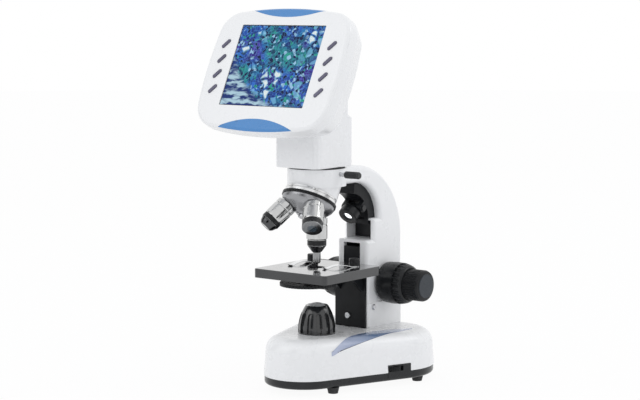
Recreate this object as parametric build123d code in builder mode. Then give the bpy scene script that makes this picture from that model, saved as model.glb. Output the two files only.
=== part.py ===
"""Compound microscope with a swivelling screen head, as a set of separate pieces.

Millimetres. +Z is up and -Y is the front, where the screen faces. The origin lies on the
table, under the middle of the whole instrument. Most places are measured from the optical
axis, a vertical line at y = optic_y that passes through the working objective and the lamp.
"""

import os
from math import asin, atan2, cos, degrees, pi, radians, sin, sqrt, tan

from build123d import *

os.makedirs("parts", exist_ok=True)

# ---------------------------------------------------------------- clearances
run_gap = 0.3          # between faces that move past each other
seat_gap = 0.1         # between pieces of one body that are fitted together
shaft_gap = 0.05       # radial clearance of a shaft in its hole

# ---------------------------------------------------------------- base
foot_height = 6.0
foot_top_r = 6.2
foot_tip_r = 4.8
plate_height = 8.5
plate_floor = 3.0
plate_rim = 3.0
plate_edge_round = 3.0
nose_r = 40.0          # the base outline is the hull of a front circle ...
nose_y = -20.0
heel_r = 50.0          # ... and of two back circles
heel_x = 27.0
heel_y = 78.0
shell_rise_front = 39.5
shell_rise_back = 35.5
shell_draft = 4.0
shell_round = 14.0
shell_wall = 3.0
accent_proud = 0.4
front_foot = (36.0, -20.0)
back_foot = (66.0, 80.0)
base_posts = ((24.0, -30.0), (50.0, 108.0))
post_r = 4.0
screw_r = 1.5
screw_head_r = 3.0
screw_head_h = 1.8

# ---------------------------------------------------------------- arm
arm_half = 19.0
arm_foot_half = 20.0
arm_foot_top = 76.0
arm_front_y = 57.5
arm_back_y = 118.6
arm_back_r = 76.2
arm_round = 5.0
throat_r = 38.3
throat_y = 41.7
throat_z = 162.0
throat_step_y = 69.0
strap_thick = 17.5
arm_top_z = throat_z + throat_r + strap_thick
ledge_z = 140.5
nose_barrel_r = 29.2
stub_r = 26.3

# ---------------------------------------------------------------- stage and focus
stage_half = 45.0
stage_front_y = -44.5
stage_back_y = 46.2
stage_top_z = 118.7
stage_thick = 9.0
stage_deck = 5.0
stage_rim = 4.0
stage_hole_r = 8.0
stage_corner = 4.0
slide_down = 18.0
slide_up = 3.5
plate_half = 19.0      # the carriage's front plate
plate_front_y = 54.6
plate_low_z = 50.0
tongue_half = 9.8
tongue_low_z = 72.0
tongue_top_z = 133.6
tongue_back_y = 80.0
slot_half = 10.3
slot_top_z = 137.5
slot_low_z = 49.0
gib_half = 14.0
rack_module = 0.8
rack_half = 3.6
pinion_teeth = 16
focus_z = 95.4
backlash = 0.22
sleeve_r = 5.0
fine_shaft_r = 3.0
bush_r = 8.5
bush_flange_r = 12.0
bush_flange = 1.0
coarse_r = 21.0
coarse_in_x = 20.6
coarse_out_x = 51.0
fine_knob_r = 15.9
fine_out_x = 70.7
limit_x = -2.6         # the screw on the carriage that limits the focus
limit_z = 62.9
limit_head_r = 2.9
limit_head_h = 1.6
limit_room = 0.9
disc_y = -14.0
disc_r = 28.0
disc_thick = 3.0
disc_drop = 4.2
disc_holes = (6.0, 5.0, 4.0, 3.0, 2.0, 1.2)
clip_x = 26.5
clip_y = 27.0
clip_knob_r = 5.5
clip_stem_r = 2.0
clip_strip = 0.7

# ---------------------------------------------------------------- lamps
lamp_r = 18.6
lamp_top_r = 11.0
lamp_top_z = 81.0
lamp_flutes = 12
lamp_flute_half = 2.7
lamp_flute_deep = 1.8
lamp_flute_foot = 2.5
lamp_flute_head = 7.0
lamp_bore_r = 7.2
lamp_lens_r = 8.9
lamp_seat_sink = 0.8
bracket_half = 12.0    # of its arc; its plate in the arm is wider
bracket_plate_half = 15.0
bracket_in_r = 27.0
bracket_plate_y = 83.4
bracket_low_z = 141.0
bracket_channel_y = 89.4
bracket_shoulder = 2.2
spot_aim = 40.0        # the upper lamp's beam, degrees below level
spot_r = 10.2
spot_lens = (51.3, 165.4)
spot_pivot_back = 12.0
spot_pin_r = 1.6
spot_tail_half = 5.5

# ---------------------------------------------------------------- turret
apex_z = 209.6         # the objective axes and the turret axis meet here
turret_tilt = 28.0
stub_face = 19.5
turret_in = 21.6
turret_r = 26.5
turret_bore = 4.5
pivot_r = 2.5
ring_r = 27.4
ring_from = 24.8
ring_to = 27.8

# ---------------------------------------------------------------- head
stem_r = 20.0
stem_low_z = 204.0
stem_groove_z = 212.8
washer_r = 27.6
washer_thick = 1.3
neck_half = 27.3
neck_front_y = -34.7
neck_back_y = 23.3
neck_seam_z = 266.0
neck_round = 4.0
neck_front_round = 8.0
thumb_r = 3.5
thumb_shank_r = 2.0
thumb_in_x = 35.5
thumb_out_x = 53.0
face_y = -68.93
face_z = 320.27
face_tilt = 25.84
face_side_u = 77.5
face_belly_u = 82.3
face_top_v = 61.0
face_shoulder_v = 54.0
face_foot_v = -60.0
face_bottom_v = -68.2
face_corner_top = 24.0
face_corner_low = 26.0
face_round = 4.0
face_wall = 3.0
bezel_depth = 14.0
bezel_wall = 2.6
rear_depth = 22.5
rear_taper = 20.0
rear_round = 7.0
hump_half = 24.0
hump_back_y = 21.5
hump_top_z = 297.0
hump_round = 9.0
glass_w = 102.6
glass_h = 84.4
module_margin = 3.5
module_depth = 5.0
glass_sink = 0.8
trim_depth = 1.8
button_u = 65.1
button_v = (21.6, 5.7, -10.2, -26.2)
button_long = 11.2
button_wide = 3.4
button_slant = 47.0
button_proud = 1.2
button_travel = 0.8
button_flange = 1.2

# ---------------------------------------------------------------- worked-out places
plate_top = foot_height + plate_height
tilt_sin = sin(radians(face_tilt))
tilt_cos = cos(radians(face_tilt))
front_reach = face_round - face_y - (face_bottom_v + face_round) * tilt_sin - face_round * tilt_cos
back_reach = heel_y + heel_r
optic_y = -(back_reach - front_reach) / 2
stage_low_z = stage_top_z - stage_thick
rack_pitch = pi * rack_module
pinion_pitch_r = pinion_teeth * rack_module / 2
pitch_line_y = tongue_back_y + 2.4
focus_y = pitch_line_y + pinion_pitch_r


def level(z):
    """A level plane whose origin is on the optical axis."""
    return Plane(origin=(0, optic_y, z), x_dir=(1, 0, 0), z_dir=(0, 0, 1))


def side(x=0.0):
    """An upright plane across X: its x is the way back from the optical axis, its y is up."""
    return Plane(origin=(x, optic_y, 0), x_dir=(0, 1, 0), z_dir=(1, 0, 0))


def face(depth):
    """A plane parallel to the screen's face, the given depth behind it."""
    normal = Vector(0, -tilt_cos, tilt_sin)
    centre = Vector(0, optic_y + face_y, face_z) - normal * depth
    return Plane(origin=centre, x_dir=(1, 0, 0), z_dir=normal)


turret_axis_dir = Vector(0, -sin(radians(turret_tilt)), -cos(radians(turret_tilt)))
apex = Vector(0, optic_y, apex_z)


def turret_plane(distance):
    """A plane across the turret's axis, the given distance from the apex."""
    return Plane(origin=apex + turret_axis_dir * distance, x_dir=(1, 0, 0), z_dir=turret_axis_dir)


def objective_dir(index):
    """The direction of an objective: 0 is the working one, straight down."""
    down = Vector(0, 0, -1)
    return down.rotate(Axis((0, 0, 0), turret_axis_dir), 120 * index)


def meridian(direction, origin=apex):
    """A plane through an axis of revolution: local x is the radius, local y runs along it."""
    radial = Vector(1, 0, 0) - direction * direction.X
    if radial.length < 0.1:
        radial = Vector(0, 1, 0)
    radial = radial.normalized()
    return Plane(origin=origin, x_dir=radial, z_dir=radial.cross(direction))


def turned(points, direction, origin=apex):
    """A turned solid: points are (radius, distance along the axis)."""
    with BuildPart() as solid:
        with BuildSketch(meridian(direction, origin)):
            with BuildLine():
                Polyline(*points, close=True)
            make_face()
        revolve(axis=Axis(origin, direction))
    return solid.part


def rim_edges(part, height, tolerance=0.01):
    """The edges of a part that lie level at the given height."""
    return part.edges().filter_by_position(Axis.Z, height - tolerance, height + tolerance)


# ================================================================ base
# The flank is the straight side of the outline: a tangent from the front to the back circle.
flank_run = sqrt(heel_x**2 + (heel_y - nose_y) ** 2)
flank_turn = atan2(heel_x, heel_y - nose_y) + asin((heel_r - nose_r) / flank_run)
flank_along = Vector(sin(flank_turn), cos(flank_turn))
flank_out = Vector(cos(flank_turn), -sin(flank_turn))
flank_length = sqrt(flank_run**2 - (heel_r - nose_r) ** 2)


def flank(along, inset):
    """A plan point beside the right flank, measured from the front tangent point."""
    foot = Vector(0, nose_y) + flank_out * (nose_r - inset) + flank_along * along
    return (foot.X, foot.Y)


def left(point):
    """The mirror image of a plan point."""
    return (-point[0], point[1])


def base_outline(grow=0.0):
    """The base's plan outline, grown outwards."""
    front_end = flank(0, -grow)
    back_end = flank(flank_length, -grow)
    heel_swing = radians(45) - flank_turn / 2
    swing_r = heel_r + grow
    heel_mid = (heel_x + swing_r * cos(heel_swing), heel_y + swing_r * sin(heel_swing))
    heel_end = (heel_x, heel_y + swing_r)
    with BuildSketch() as outline:
        with BuildLine():
            Line(front_end, back_end)
            ThreePointArc(back_end, heel_mid, heel_end)
            Line(heel_end, left(heel_end))
            ThreePointArc(left(heel_end), left(heel_mid), left(back_end))
            Line(left(back_end), left(front_end))
            ThreePointArc(left(front_end), (0, nose_y - nose_r - grow), front_end)
        make_face()
    return outline.sketch


roof_slope = degrees(atan2(shell_rise_front - shell_rise_back, back_reach + nose_r - nose_y))


def roof_z(y):
    """The height of the shell's gently falling top at a distance behind the optical axis."""
    return plate_top + shell_rise_front - (y + nose_r - nose_y) * tan(radians(roof_slope))


def shell_form(grow=0.0):
    """The base shell's outer form, grown outwards, or inwards for its inside."""
    roof = Plane(origin=(0, optic_y, roof_z(0) + grow), z_dir=(0, sin(radians(roof_slope)), 1))
    with BuildPart() as form:
        with BuildSketch(level(plate_top)):
            add(base_outline(grow))
        extrude(amount=shell_rise_front + 8, taper=shell_draft)
        split(bisect_by=roof, keep=Keep.BOTTOM)
        fillet(form.faces().sort_by(Axis.Z)[-1].edges(), shell_round + grow)
    return form.part


panel_along = 86.5
panel_length = 27.0
panel_thick = 3.0
panel_height = 7.5
wheel_r = 9.0
wheel_thick = 4.4
wheel_low_z = plate_top + 1.3
wheel_along = 82.5
wheel_inset = wheel_r - 1.6
wheel_centre = flank(wheel_along, wheel_inset)
wheel_shaft_r = 3.0
wheel_post_r = 3.6
wheel_slot_half = 8.4
back_port_z = 30.0
inlet_x = -15.0
inlet_r = 5.5
switch_x = 13.0
switch_half = (10.0, 6.5)
back_wall_inset = (back_port_z - plate_top) * tan(radians(shell_draft))
back_wall_y = back_reach - back_wall_inset
panel_angle = degrees(atan2(flank_along.Y, flank_along.X))
arm_well_front_y = plate_front_y - 1.0
limit_relief_y = plate_front_y - limit_head_h - limit_room
base_ports = Plane(origin=(0, optic_y + back_reach + 2, back_port_z), x_dir=(-1, 0, 0), z_dir=(0, 1, 0))

with BuildPart() as shell_posts:
    with BuildSketch(level(plate_top)):
        for post_x, post_y in base_posts:
            with Locations((post_x, post_y), (-post_x, post_y)):
                Circle(post_r)
    extrude(amount=shell_rise_front)
    add(shell_form(-shell_wall / 2), mode=Mode.INTERSECT)
with BuildPart() as base_shell:
    add(shell_form(0))
    add(shell_form(-shell_wall), mode=Mode.SUBTRACT)
    add(shell_posts.part)
    with BuildSketch(level(plate_top)):
        for post_x, post_y in base_posts:
            with Locations((post_x, post_y), (-post_x, post_y)):
                Circle(screw_r + shaft_gap)
    extrude(amount=14, mode=Mode.SUBTRACT)
    # the well that the arm's foot stands in, with room for the carriage in front of it
    with BuildSketch(level(plate_top)):
        with BuildLine():
            well_half = arm_foot_half + seat_gap
            Polyline(
                (-well_half, arm_well_front_y),
                (well_half, arm_well_front_y),
                (well_half, arm_back_y + seat_gap),
                (-well_half, arm_back_y + seat_gap),
                close=True,
            )
        make_face()
        # the limit screw's head passes through a groove in the well's front wall
        with Locations((limit_x, (limit_relief_y + arm_well_front_y + 1) / 2)):
            Rectangle(2 * (limit_head_r + limit_room), arm_well_front_y + 1 - limit_relief_y)
    extrude(amount=shell_rise_front + 1, mode=Mode.SUBTRACT)
    # the lower lamp's level seat
    with BuildSketch(level(roof_z(0) - lamp_seat_sink)):
        Circle(lamp_r + seat_gap)
    extrude(amount=8, mode=Mode.SUBTRACT)
    with BuildSketch(level(plate_top)):
        Circle(lamp_top_r)
    extrude(amount=shell_rise_front, mode=Mode.SUBTRACT)
    # the dimmer panel's notch
    with BuildSketch(level(plate_top)):
        with Locations(Location((*flank(panel_along, 0), 0), (0, 0, panel_angle))):
            Rectangle(panel_length + 2 * seat_gap, 2 * (panel_thick + 2))
    extrude(amount=panel_height + seat_gap, mode=Mode.SUBTRACT)
    # the ports in the back wall
    with BuildSketch(base_ports):
        with Locations((-inlet_x, 0)):
            Circle(inlet_r + seat_gap)
        with Locations((-switch_x, 0)):
            Rectangle(2 * (switch_half[0] + seat_gap), 2 * (switch_half[1] + seat_gap))
    extrude(amount=-12, mode=Mode.SUBTRACT)
base_shell.part.label = "base_shell"
export_step(base_shell.part, "parts/base_shell.step")

with BuildPart() as base_plate:
    with BuildSketch(level(foot_height)):
        add(base_outline(-0.6))
    extrude(amount=plate_height)
    fillet(rim_edges(base_plate, foot_height), plate_edge_round)
    with BuildSketch(level(foot_height + plate_floor)):
        add(base_outline(-0.6 - plate_rim))
    extrude(amount=plate_height, mode=Mode.SUBTRACT)
    # bosses that the shell's posts stand on
    with BuildSketch(level(foot_height + plate_floor)):
        for post_x, post_y in base_posts:
            with Locations((post_x, post_y), (-post_x, post_y)):
                Circle(post_r)
    extrude(amount=plate_height - plate_floor)
    # the dimmer panel stands up from the rim, with a slot for the wheel
    with BuildSketch(level(foot_height + plate_floor)):
        with Locations(Location((*flank(panel_along, panel_thick / 2), 0), (0, 0, panel_angle))):
            Rectangle(panel_length, panel_thick)
    extrude(amount=plate_height - plate_floor + panel_height)
    with BuildSketch(level(wheel_low_z - run_gap)):
        with Locations(Location((*flank(wheel_along, panel_thick / 2), 0), (0, 0, panel_angle))):
            Rectangle(2 * wheel_slot_half, 4 * panel_thick)
    extrude(amount=wheel_thick + 2 * run_gap, mode=Mode.SUBTRACT)
    # counterbored holes for the post screws
    with Locations(*[(s * x, optic_y + y, foot_height) for x, y in base_posts for s in (1, -1)]):
        Cylinder(screw_head_r + 0.3, 2 * screw_head_h + 0.4, mode=Mode.SUBTRACT)
        Cylinder(screw_r + shaft_gap, 4 * plate_height, mode=Mode.SUBTRACT)
base_plate.part.label = "base_plate"
export_step(base_plate.part, "parts/base_plate.step")

foot_places = [(s * x, y) for x, y in (front_foot, back_foot) for s in (1, -1)]
with BuildPart() as base_feet:
    with BuildSketch(level(0)):
        with Locations(*foot_places):
            Circle(foot_tip_r)
    extrude(amount=foot_height, taper=-degrees(atan2(foot_top_r - foot_tip_r, foot_height)))
    with BuildSketch(level(0)):
        with Locations(*foot_places):
            Circle(foot_tip_r / 2)
    extrude(amount=foot_height / 2, mode=Mode.SUBTRACT)
base_feet.part.label = "base_feet"
export_step(base_feet.part, "parts/base_feet.step")

# a coloured crescent inlaid on the base's right shoulder, seen in plan
accent_tip = (8.4, 1.6)     # distances along the flank and in from it
accent_tail = (119.0, 26.5)
accent_outer = (62.0, 7.6)
accent_pull = ((60.0, 40.0), (30.0, 3.0))
with BuildPart() as base_accents:
    with BuildSketch(level(plate_top)):
        with BuildLine():
            ThreePointArc(flank(*accent_tip), flank(*accent_outer), flank(*accent_tail))
            Bezier(*[flank(*place) for place in (accent_tail, *accent_pull, accent_tip)])
        make_face()
    extrude(amount=shell_rise_front + 8)
    add(shell_form(accent_proud), mode=Mode.INTERSECT)
    add(shell_form(0), mode=Mode.SUBTRACT)
base_accents.part.label = "base_accents"
export_step(base_accents.part, "parts/base_accents.step")

with BuildPart() as stand_screws:
    with Locations(*[(s * x, optic_y + y, foot_height) for x, y in base_posts for s in (1, -1)]):
        Cylinder(screw_head_r, screw_head_h, align=(Align.CENTER, Align.CENTER, Align.MIN))
        Cylinder(screw_r, plate_height + 8, align=(Align.CENTER, Align.CENTER, Align.MIN))

back_port = Plane(origin=(0, optic_y + back_wall_y, back_port_z), x_dir=(-1, 0, 0), z_dir=(0, 1, 0))
with BuildPart() as power_inlet:
    with BuildSketch(back_port.offset(0.6)):
        with Locations((-inlet_x, 0)):
            Circle(inlet_r)
    extrude(amount=-13)
    with BuildSketch(back_port.offset(-4.2)):
        with Locations((-inlet_x, 0)):
            Circle(inlet_r + 2)
    extrude(amount=-2)
    with BuildSketch(back_port.offset(0.6)):
        with Locations((-inlet_x, 0)):
            Circle(2.8)
            Circle(1.0, mode=Mode.SUBTRACT)
    extrude(amount=-9, mode=Mode.SUBTRACT)

rocker_half = (switch_half[0] - 2.0, switch_half[1] - 1.8)
rocker_room = (switch_half[0] - 1.2, switch_half[1] - 1.4)
rocker_pivot_in = 5.0
with BuildPart() as switch_frame:
    with BuildSketch(back_port.offset(1.2)):
        with Locations((-switch_x, 0)):
            RectangleRounded(2 * switch_half[0] + 2.4, 2 * switch_half[1] + 2.4, 1.5)
    extrude(amount=-0.6)
    with BuildSketch(back_port.offset(0.6)):
        with Locations((-switch_x, 0)):
            Rectangle(2 * switch_half[0], 2 * switch_half[1])
    extrude(amount=-13)
    with BuildSketch(back_port.offset(1.2)):
        with Locations((-switch_x, 0)):
            Rectangle(2 * rocker_room[0], 2 * rocker_room[1])
    extrude(amount=-11, mode=Mode.SUBTRACT)

with BuildPart() as back_ports:
    add(power_inlet.part)
    add(switch_frame.part)
back_ports.part.label = "back_ports"
export_step(back_ports.part, "parts/back_ports.step")

rocker_face_r = 24.0
rocker_axis_y = back_wall_y - rocker_pivot_in
with BuildPart() as light_switch:
    with BuildSketch(level(back_port_z - rocker_half[1])):
        with Locations((switch_x, rocker_axis_y)):
            Circle(rocker_half[0])
            with Locations((0, 2.75)):
                Rectangle(2 * rocker_half[0], 12.5, mode=Mode.INTERSECT)
    extrude(amount=2 * rocker_half[1])
    with BuildSketch(level(back_port_z - rocker_half[1])):
        with Locations((switch_x, rocker_axis_y + rocker_half[0] + rocker_face_r - 2.6)):
            Circle(rocker_face_r)
    extrude(amount=2 * rocker_half[1], mode=Mode.SUBTRACT)
light_switch.part.label = "light_switch"
export_step(light_switch.part, "parts/light_switch.step")

# ================================================================ dimmer
with BuildPart() as dimmer_wheel:
    with BuildSketch(level(wheel_low_z)):
        with Locations(wheel_centre):
            Circle(wheel_r)
            with PolarLocations(wheel_r, 30):
                Circle(0.45, mode=Mode.SUBTRACT)
            Circle(wheel_shaft_r + shaft_gap / 5, mode=Mode.SUBTRACT)
    extrude(amount=wheel_thick)
dimmer_wheel.part.label = "dimmer_wheel"
export_step(dimmer_wheel.part, "parts/dimmer_wheel.step")

with BuildPart() as dimmer_spindle:
    with BuildSketch(level(foot_height + plate_floor)):
        with Locations(wheel_centre):
            Circle(wheel_post_r)
    extrude(amount=wheel_low_z - run_gap - foot_height - plate_floor)
    with BuildSketch(level(foot_height + plate_floor)):
        with Locations(wheel_centre):
            Circle(wheel_shaft_r - shaft_gap)
    extrude(amount=wheel_low_z + wheel_thick + 1 - foot_height - plate_floor)
dimmer_spindle.part.label = "dimmer_spindle"
export_step(dimmer_spindle.part, "parts/dimmer_spindle.step")

board_low_z = foot_height + plate_floor + 4.0
board_thick = 1.6
board_mid = (-39.0, 80.0)
board_half = (17.0, 20.0)
board_margin = 4.0
board_parts_h = 9.0
board_hold = (board_half[0] - board_margin, board_half[1] - board_margin)
board_xs = (board_mid[0] - board_hold[0], board_mid[0] + board_hold[0])
board_ys = (board_mid[1] - board_hold[1], board_mid[1] + board_hold[1])
board_places = [(x, y) for x in board_xs for y in board_ys]
with BuildPart() as power_board:
    with BuildSketch(level(board_low_z)):
        with Locations(board_mid):
            Rectangle(2 * board_half[0], 2 * board_half[1])
        with Locations(*board_places):
            Circle(1.6, mode=Mode.SUBTRACT)
    extrude(amount=board_thick)
    with BuildSketch(level(foot_height + plate_floor)):
        with Locations(*board_places):
            Circle(3.2)
    extrude(amount=board_low_z - foot_height - plate_floor)
    with BuildSketch(level(board_low_z + board_thick)):
        with Locations((board_mid[0] - 6, board_mid[1] - 2)):
            Circle(5)
        with Locations((board_mid[0] + 5, board_mid[1] + 12)):
            Rectangle(12, 14)
    extrude(amount=board_parts_h)
power_board.part.label = "power_board"
export_step(power_board.part, "parts/power_board.step")

# ================================================================ lower lamp
lamp_seat_z = roof_z(0) - lamp_seat_sink


def lamp_dome(inset=0.0):
    """The lower lamp's dome, turned about the optical axis, or its core at a depth below the skin."""
    with BuildPart() as dome:
        with BuildSketch(side()):
            with BuildLine():
                rise = Line((lamp_r - inset, lamp_seat_z), (lamp_r - inset, lamp_seat_z + 5))
                haunch = (lamp_r - 1.7 - inset, lamp_top_z - 12.5)
                crown = ThreePointArc(rise @ 1, haunch, (lamp_top_r - inset / 2, lamp_top_z - inset / 2))
                Polyline(crown @ 1, (0, lamp_top_z - inset / 2), (0, lamp_seat_z), rise @ 0)
            make_face()
        revolve(axis=Axis((0, optic_y, 0), (0, 0, 1)))
    return dome.part


# finger flutes: upright slots with round tops that follow the dome at a constant depth
flute_top_z = lamp_top_z - lamp_flute_head - lamp_flute_half
flute_low_z = lamp_seat_z + lamp_flute_foot
with BuildPart() as lamp_flute_cuts:
    for number in range(lamp_flutes):
        swing = 2 * pi * (number + 0.5) / lamp_flutes
        outwards = Vector(cos(swing), sin(swing))
        with BuildSketch(Plane(origin=(0, optic_y, 0), x_dir=outwards.rotate(Axis.Z, 90), z_dir=outwards)):
            with Locations((0, (flute_top_z + flute_low_z) / 2)):
                Rectangle(2 * lamp_flute_half, flute_top_z - flute_low_z)
            with Locations((0, flute_top_z)):
                Circle(lamp_flute_half)
        extrude(amount=lamp_r + 1)
    add(lamp_dome(lamp_flute_deep), mode=Mode.SUBTRACT)
with BuildPart() as lower_lamp_housing:
    add(lamp_dome())
    add(lamp_flute_cuts.part, mode=Mode.SUBTRACT)
    # the bore that holds the lens above and the emitter below
    with BuildSketch(level(lamp_seat_z)):
        Circle(lamp_bore_r)
    extrude(amount=lamp_top_z - lamp_seat_z, mode=Mode.SUBTRACT)
    with BuildSketch(level(lamp_top_z)):
        Circle(lamp_lens_r + seat_gap)
    extrude(amount=-3, mode=Mode.SUBTRACT)
lower_lamp_housing.part.label = "lower_lamp_housing"
export_step(lower_lamp_housing.part, "parts/lower_lamp_housing.step")

lens_crown = 2.4
lens_ball_r = (lamp_lens_r**2 + lens_crown**2) / (2 * lens_crown)
with BuildPart() as lower_lamp_lens:
    with BuildSketch(level(lamp_top_z - 2.9)):
        Circle(lamp_lens_r)
    extrude(amount=2.9 + lens_crown)
    with Locations((0, optic_y, lamp_top_z + lens_crown - lens_ball_r)):
        Sphere(lens_ball_r, mode=Mode.INTERSECT)
lower_lamp_lens.part.label = "lower_lamp_lens"
export_step(lower_lamp_lens.part, "parts/lower_lamp_lens.step")

with BuildPart() as lower_lamp_led:
    with BuildSketch(level(lamp_seat_z - shell_wall + 1.3)):
        Circle(lamp_bore_r - seat_gap)
    extrude(amount=9)
    with BuildSketch(level(lamp_seat_z - shell_wall + 10.3)):
        Circle(2.5)
    extrude(amount=4)
lower_lamp_led.part.label = "lower_lamp_led"
export_step(lower_lamp_led.part, "parts/lower_lamp_led.step")

# ================================================================ arm
arm_low_z = foot_height + plate_floor
arm_port_room = 12.0
arm_port_top = 44.0
side_screw = (68.0, 71.7)
side_screw_deep = 4.0
arm_bend = (arm_back_y - arm_back_r, arm_top_z - arm_back_r)
bend_mid = (arm_bend[0] + arm_back_r * sin(radians(45)), arm_bend[1] + arm_back_r * cos(radians(45)))
throat_mid = (throat_y + throat_r * sin(radians(45)), throat_z + throat_r * cos(radians(45)))
strap_low_z = throat_z + throat_r
focus_axis = Axis((0, optic_y + focus_y, focus_z), (1, 0, 0))
with BuildPart() as strap:
    with BuildSketch(side()) as strap_profile:
        with BuildLine():
            Line((0, arm_top_z), (arm_bend[0], arm_top_z))
            ThreePointArc((arm_bend[0], arm_top_z), bend_mid, (arm_back_y, arm_bend[1]))
            Polyline(
                (arm_back_y, arm_bend[1]),
                (arm_back_y, arm_low_z),
                (arm_front_y, arm_low_z),
                (arm_front_y, ledge_z),
                (throat_step_y, ledge_z),
                (throat_step_y, throat_z),
                (throat_y + throat_r, throat_z),
            )
            ThreePointArc((throat_y + throat_r, throat_z), throat_mid, (throat_y, strap_low_z))
            Polyline((throat_y, strap_low_z), (0, strap_low_z), (0, arm_top_z))
        make_face()
    extrude(amount=arm_half, both=True)
    fillet(strap.edges().group_by(Axis.X)[0] + strap.edges().group_by(Axis.X)[-1], arm_round)
with BuildPart() as stub:
    with BuildSketch(turret_plane(stub_face)):
        Circle(stub_r)
    extrude(amount=-40)
    with BuildSketch(level(strap_low_z + 4)):
        Circle(nose_barrel_r - 1.2)
    extrude(amount=-60, mode=Mode.INTERSECT)
with BuildPart() as arm:
    add(strap.part)
    with BuildSketch(level(strap_low_z)):
        Circle(nose_barrel_r)
    extrude(amount=arm_top_z - strap_low_z)
    add(stub.part)
    with BuildSketch(level(arm_low_z)) as arm_foot:
        with Locations((0, (arm_front_y + arm_back_y) / 2)):
            RectangleRounded(2 * arm_foot_half, arm_back_y - arm_front_y, arm_round)
    extrude(amount=arm_foot_top - arm_low_z)
    # inside the base the foot stops short of the ports in the back wall
    with BuildSketch(level(arm_low_z)):
        with Locations((0, arm_back_y)):
            Rectangle(2 * arm_foot_half, 2 * arm_port_room)
    extrude(amount=arm_port_top - arm_low_z, mode=Mode.SUBTRACT)
    # socket for the head's stem, and the light path down through the stub
    with BuildSketch(level(stem_low_z - run_gap)):
        Circle(stem_r + shaft_gap)
    extrude(amount=arm_top_z, mode=Mode.SUBTRACT)
    with BuildSketch(level(arm_top_z)):
        Circle(turret_bore)
    extrude(amount=-60, mode=Mode.SUBTRACT)
    # hole for the head's clamping screw
    with BuildSketch(Plane(origin=(0, optic_y, stem_groove_z), x_dir=(0, 1, 0), z_dir=(1, 0, 0))):
        Circle(thumb_shank_r + shaft_gap)
    extrude(amount=40, mode=Mode.SUBTRACT)
    # the nose stops at the turret's sloping seat
    with BuildSketch(turret_plane(stub_face)):
        Circle(nose_barrel_r + 12)
    extrude(amount=30, mode=Mode.SUBTRACT)
    # blind hole for the turret's screw
    with BuildSketch(turret_plane(stub_face)):
        Circle(pivot_r + shaft_gap / 2)
    extrude(amount=-3.5, mode=Mode.SUBTRACT)
    # slideway: an open slot, wider behind its lips, and the pinion's room
    slide_height = slot_top_z - slot_low_z
    with BuildSketch(level(slot_low_z)):
        with Locations((0, (arm_front_y + focus_y + 9) / 2)):
            Rectangle(2 * slot_half, focus_y + 9 - arm_front_y)
        with Locations((0, (arm_front_y + 5 + tongue_back_y - run_gap) / 2)):
            Rectangle(2 * gib_half, tongue_back_y - run_gap - arm_front_y - 5)
    extrude(amount=slide_height, mode=Mode.SUBTRACT)
    with BuildSketch(Plane(origin=(0, optic_y + focus_y, focus_z), x_dir=(0, 1, 0), z_dir=(1, 0, 0))):
        Circle(bush_r + seat_gap / 2)
    extrude(amount=30, both=True, mode=Mode.SUBTRACT)
    # channel for the upper lamp's bracket
    with BuildSketch(level(ledge_z)):
        with Locations((0, (throat_step_y - 5 + bracket_channel_y) / 2)):
            Rectangle(2 * (bracket_half + seat_gap), bracket_channel_y - throat_step_y + 5)
    extrude(amount=throat_z + seat_gap - ledge_z, mode=Mode.SUBTRACT)
    with BuildSketch(level(ledge_z)):
        with Locations((0, (throat_step_y - 5 + bracket_channel_y) / 2)):
            Rectangle(2 * (bracket_plate_half + seat_gap), bracket_channel_y - throat_step_y + 5)
    extrude(amount=throat_z - bracket_shoulder + seat_gap - ledge_z, mode=Mode.SUBTRACT)
    # holes for the screws in the foot's sides
    with BuildSketch(side()):
        with Locations(side_screw):
            Circle(screw_r + shaft_gap)
    extrude(amount=arm_foot_half + 1, both=True, mode=Mode.SUBTRACT)
arm.part.label = "arm"
export_step(arm.part, "parts/arm.step")

# a dark washer under the turning head
with BuildPart() as neck_washer:
    with BuildSketch(level(arm_top_z)):
        Circle(washer_r)
        Circle(stem_r + run_gap, mode=Mode.SUBTRACT)
    extrude(amount=washer_thick)
neck_washer.part.label = "neck_washer"
export_step(neck_washer.part, "parts/neck_washer.step")

with BuildPart() as focus_bushes:
    for way in (1, -1):
        bush_profile = (
            (sleeve_r + shaft_gap, way * (slot_half + run_gap)),
            (bush_r, way * (slot_half + run_gap)),
            (bush_r, way * (arm_half + seat_gap / 2)),
            (bush_flange_r, way * (arm_half + seat_gap / 2)),
            (bush_flange_r, way * (arm_half + bush_flange)),
            (sleeve_r + shaft_gap, way * (arm_half + bush_flange)),
        )
        add(turned(bush_profile, Vector(1, 0, 0), focus_axis.position))
focus_bushes.part.label = "focus_bushes"
export_step(focus_bushes.part, "parts/focus_bushes.step")

gib_low_z = slot_low_z + 1
gib_mid_x = (tongue_half + gib_half + seat_gap) / 2
with BuildPart() as slide_gibs:
    gib_deep = tongue_back_y - run_gap - arm_front_y - 5 - 2 * seat_gap
    with BuildSketch(level(gib_low_z)):
        for way in (1, -1):
            with Locations((way * gib_mid_x, arm_front_y + 5 + seat_gap + gib_deep / 2)):
                Rectangle(gib_half - tongue_half - 3 * seat_gap, gib_deep)
    extrude(amount=slide_height - 2)
slide_gibs.part.label = "slide_gibs"
export_step(slide_gibs.part, "parts/slide_gibs.step")

# ================================================================ upper lamp
bracket_out_r = throat_r - seat_gap
plate_front = throat_y + bracket_in_r
bracket_top_angle = radians(84)


def round_throat(radius, angle):
    """A point on a circle about the throat's centre, from level behind it upwards."""
    return (throat_y + radius * cos(angle), throat_z + radius * sin(angle))


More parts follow.
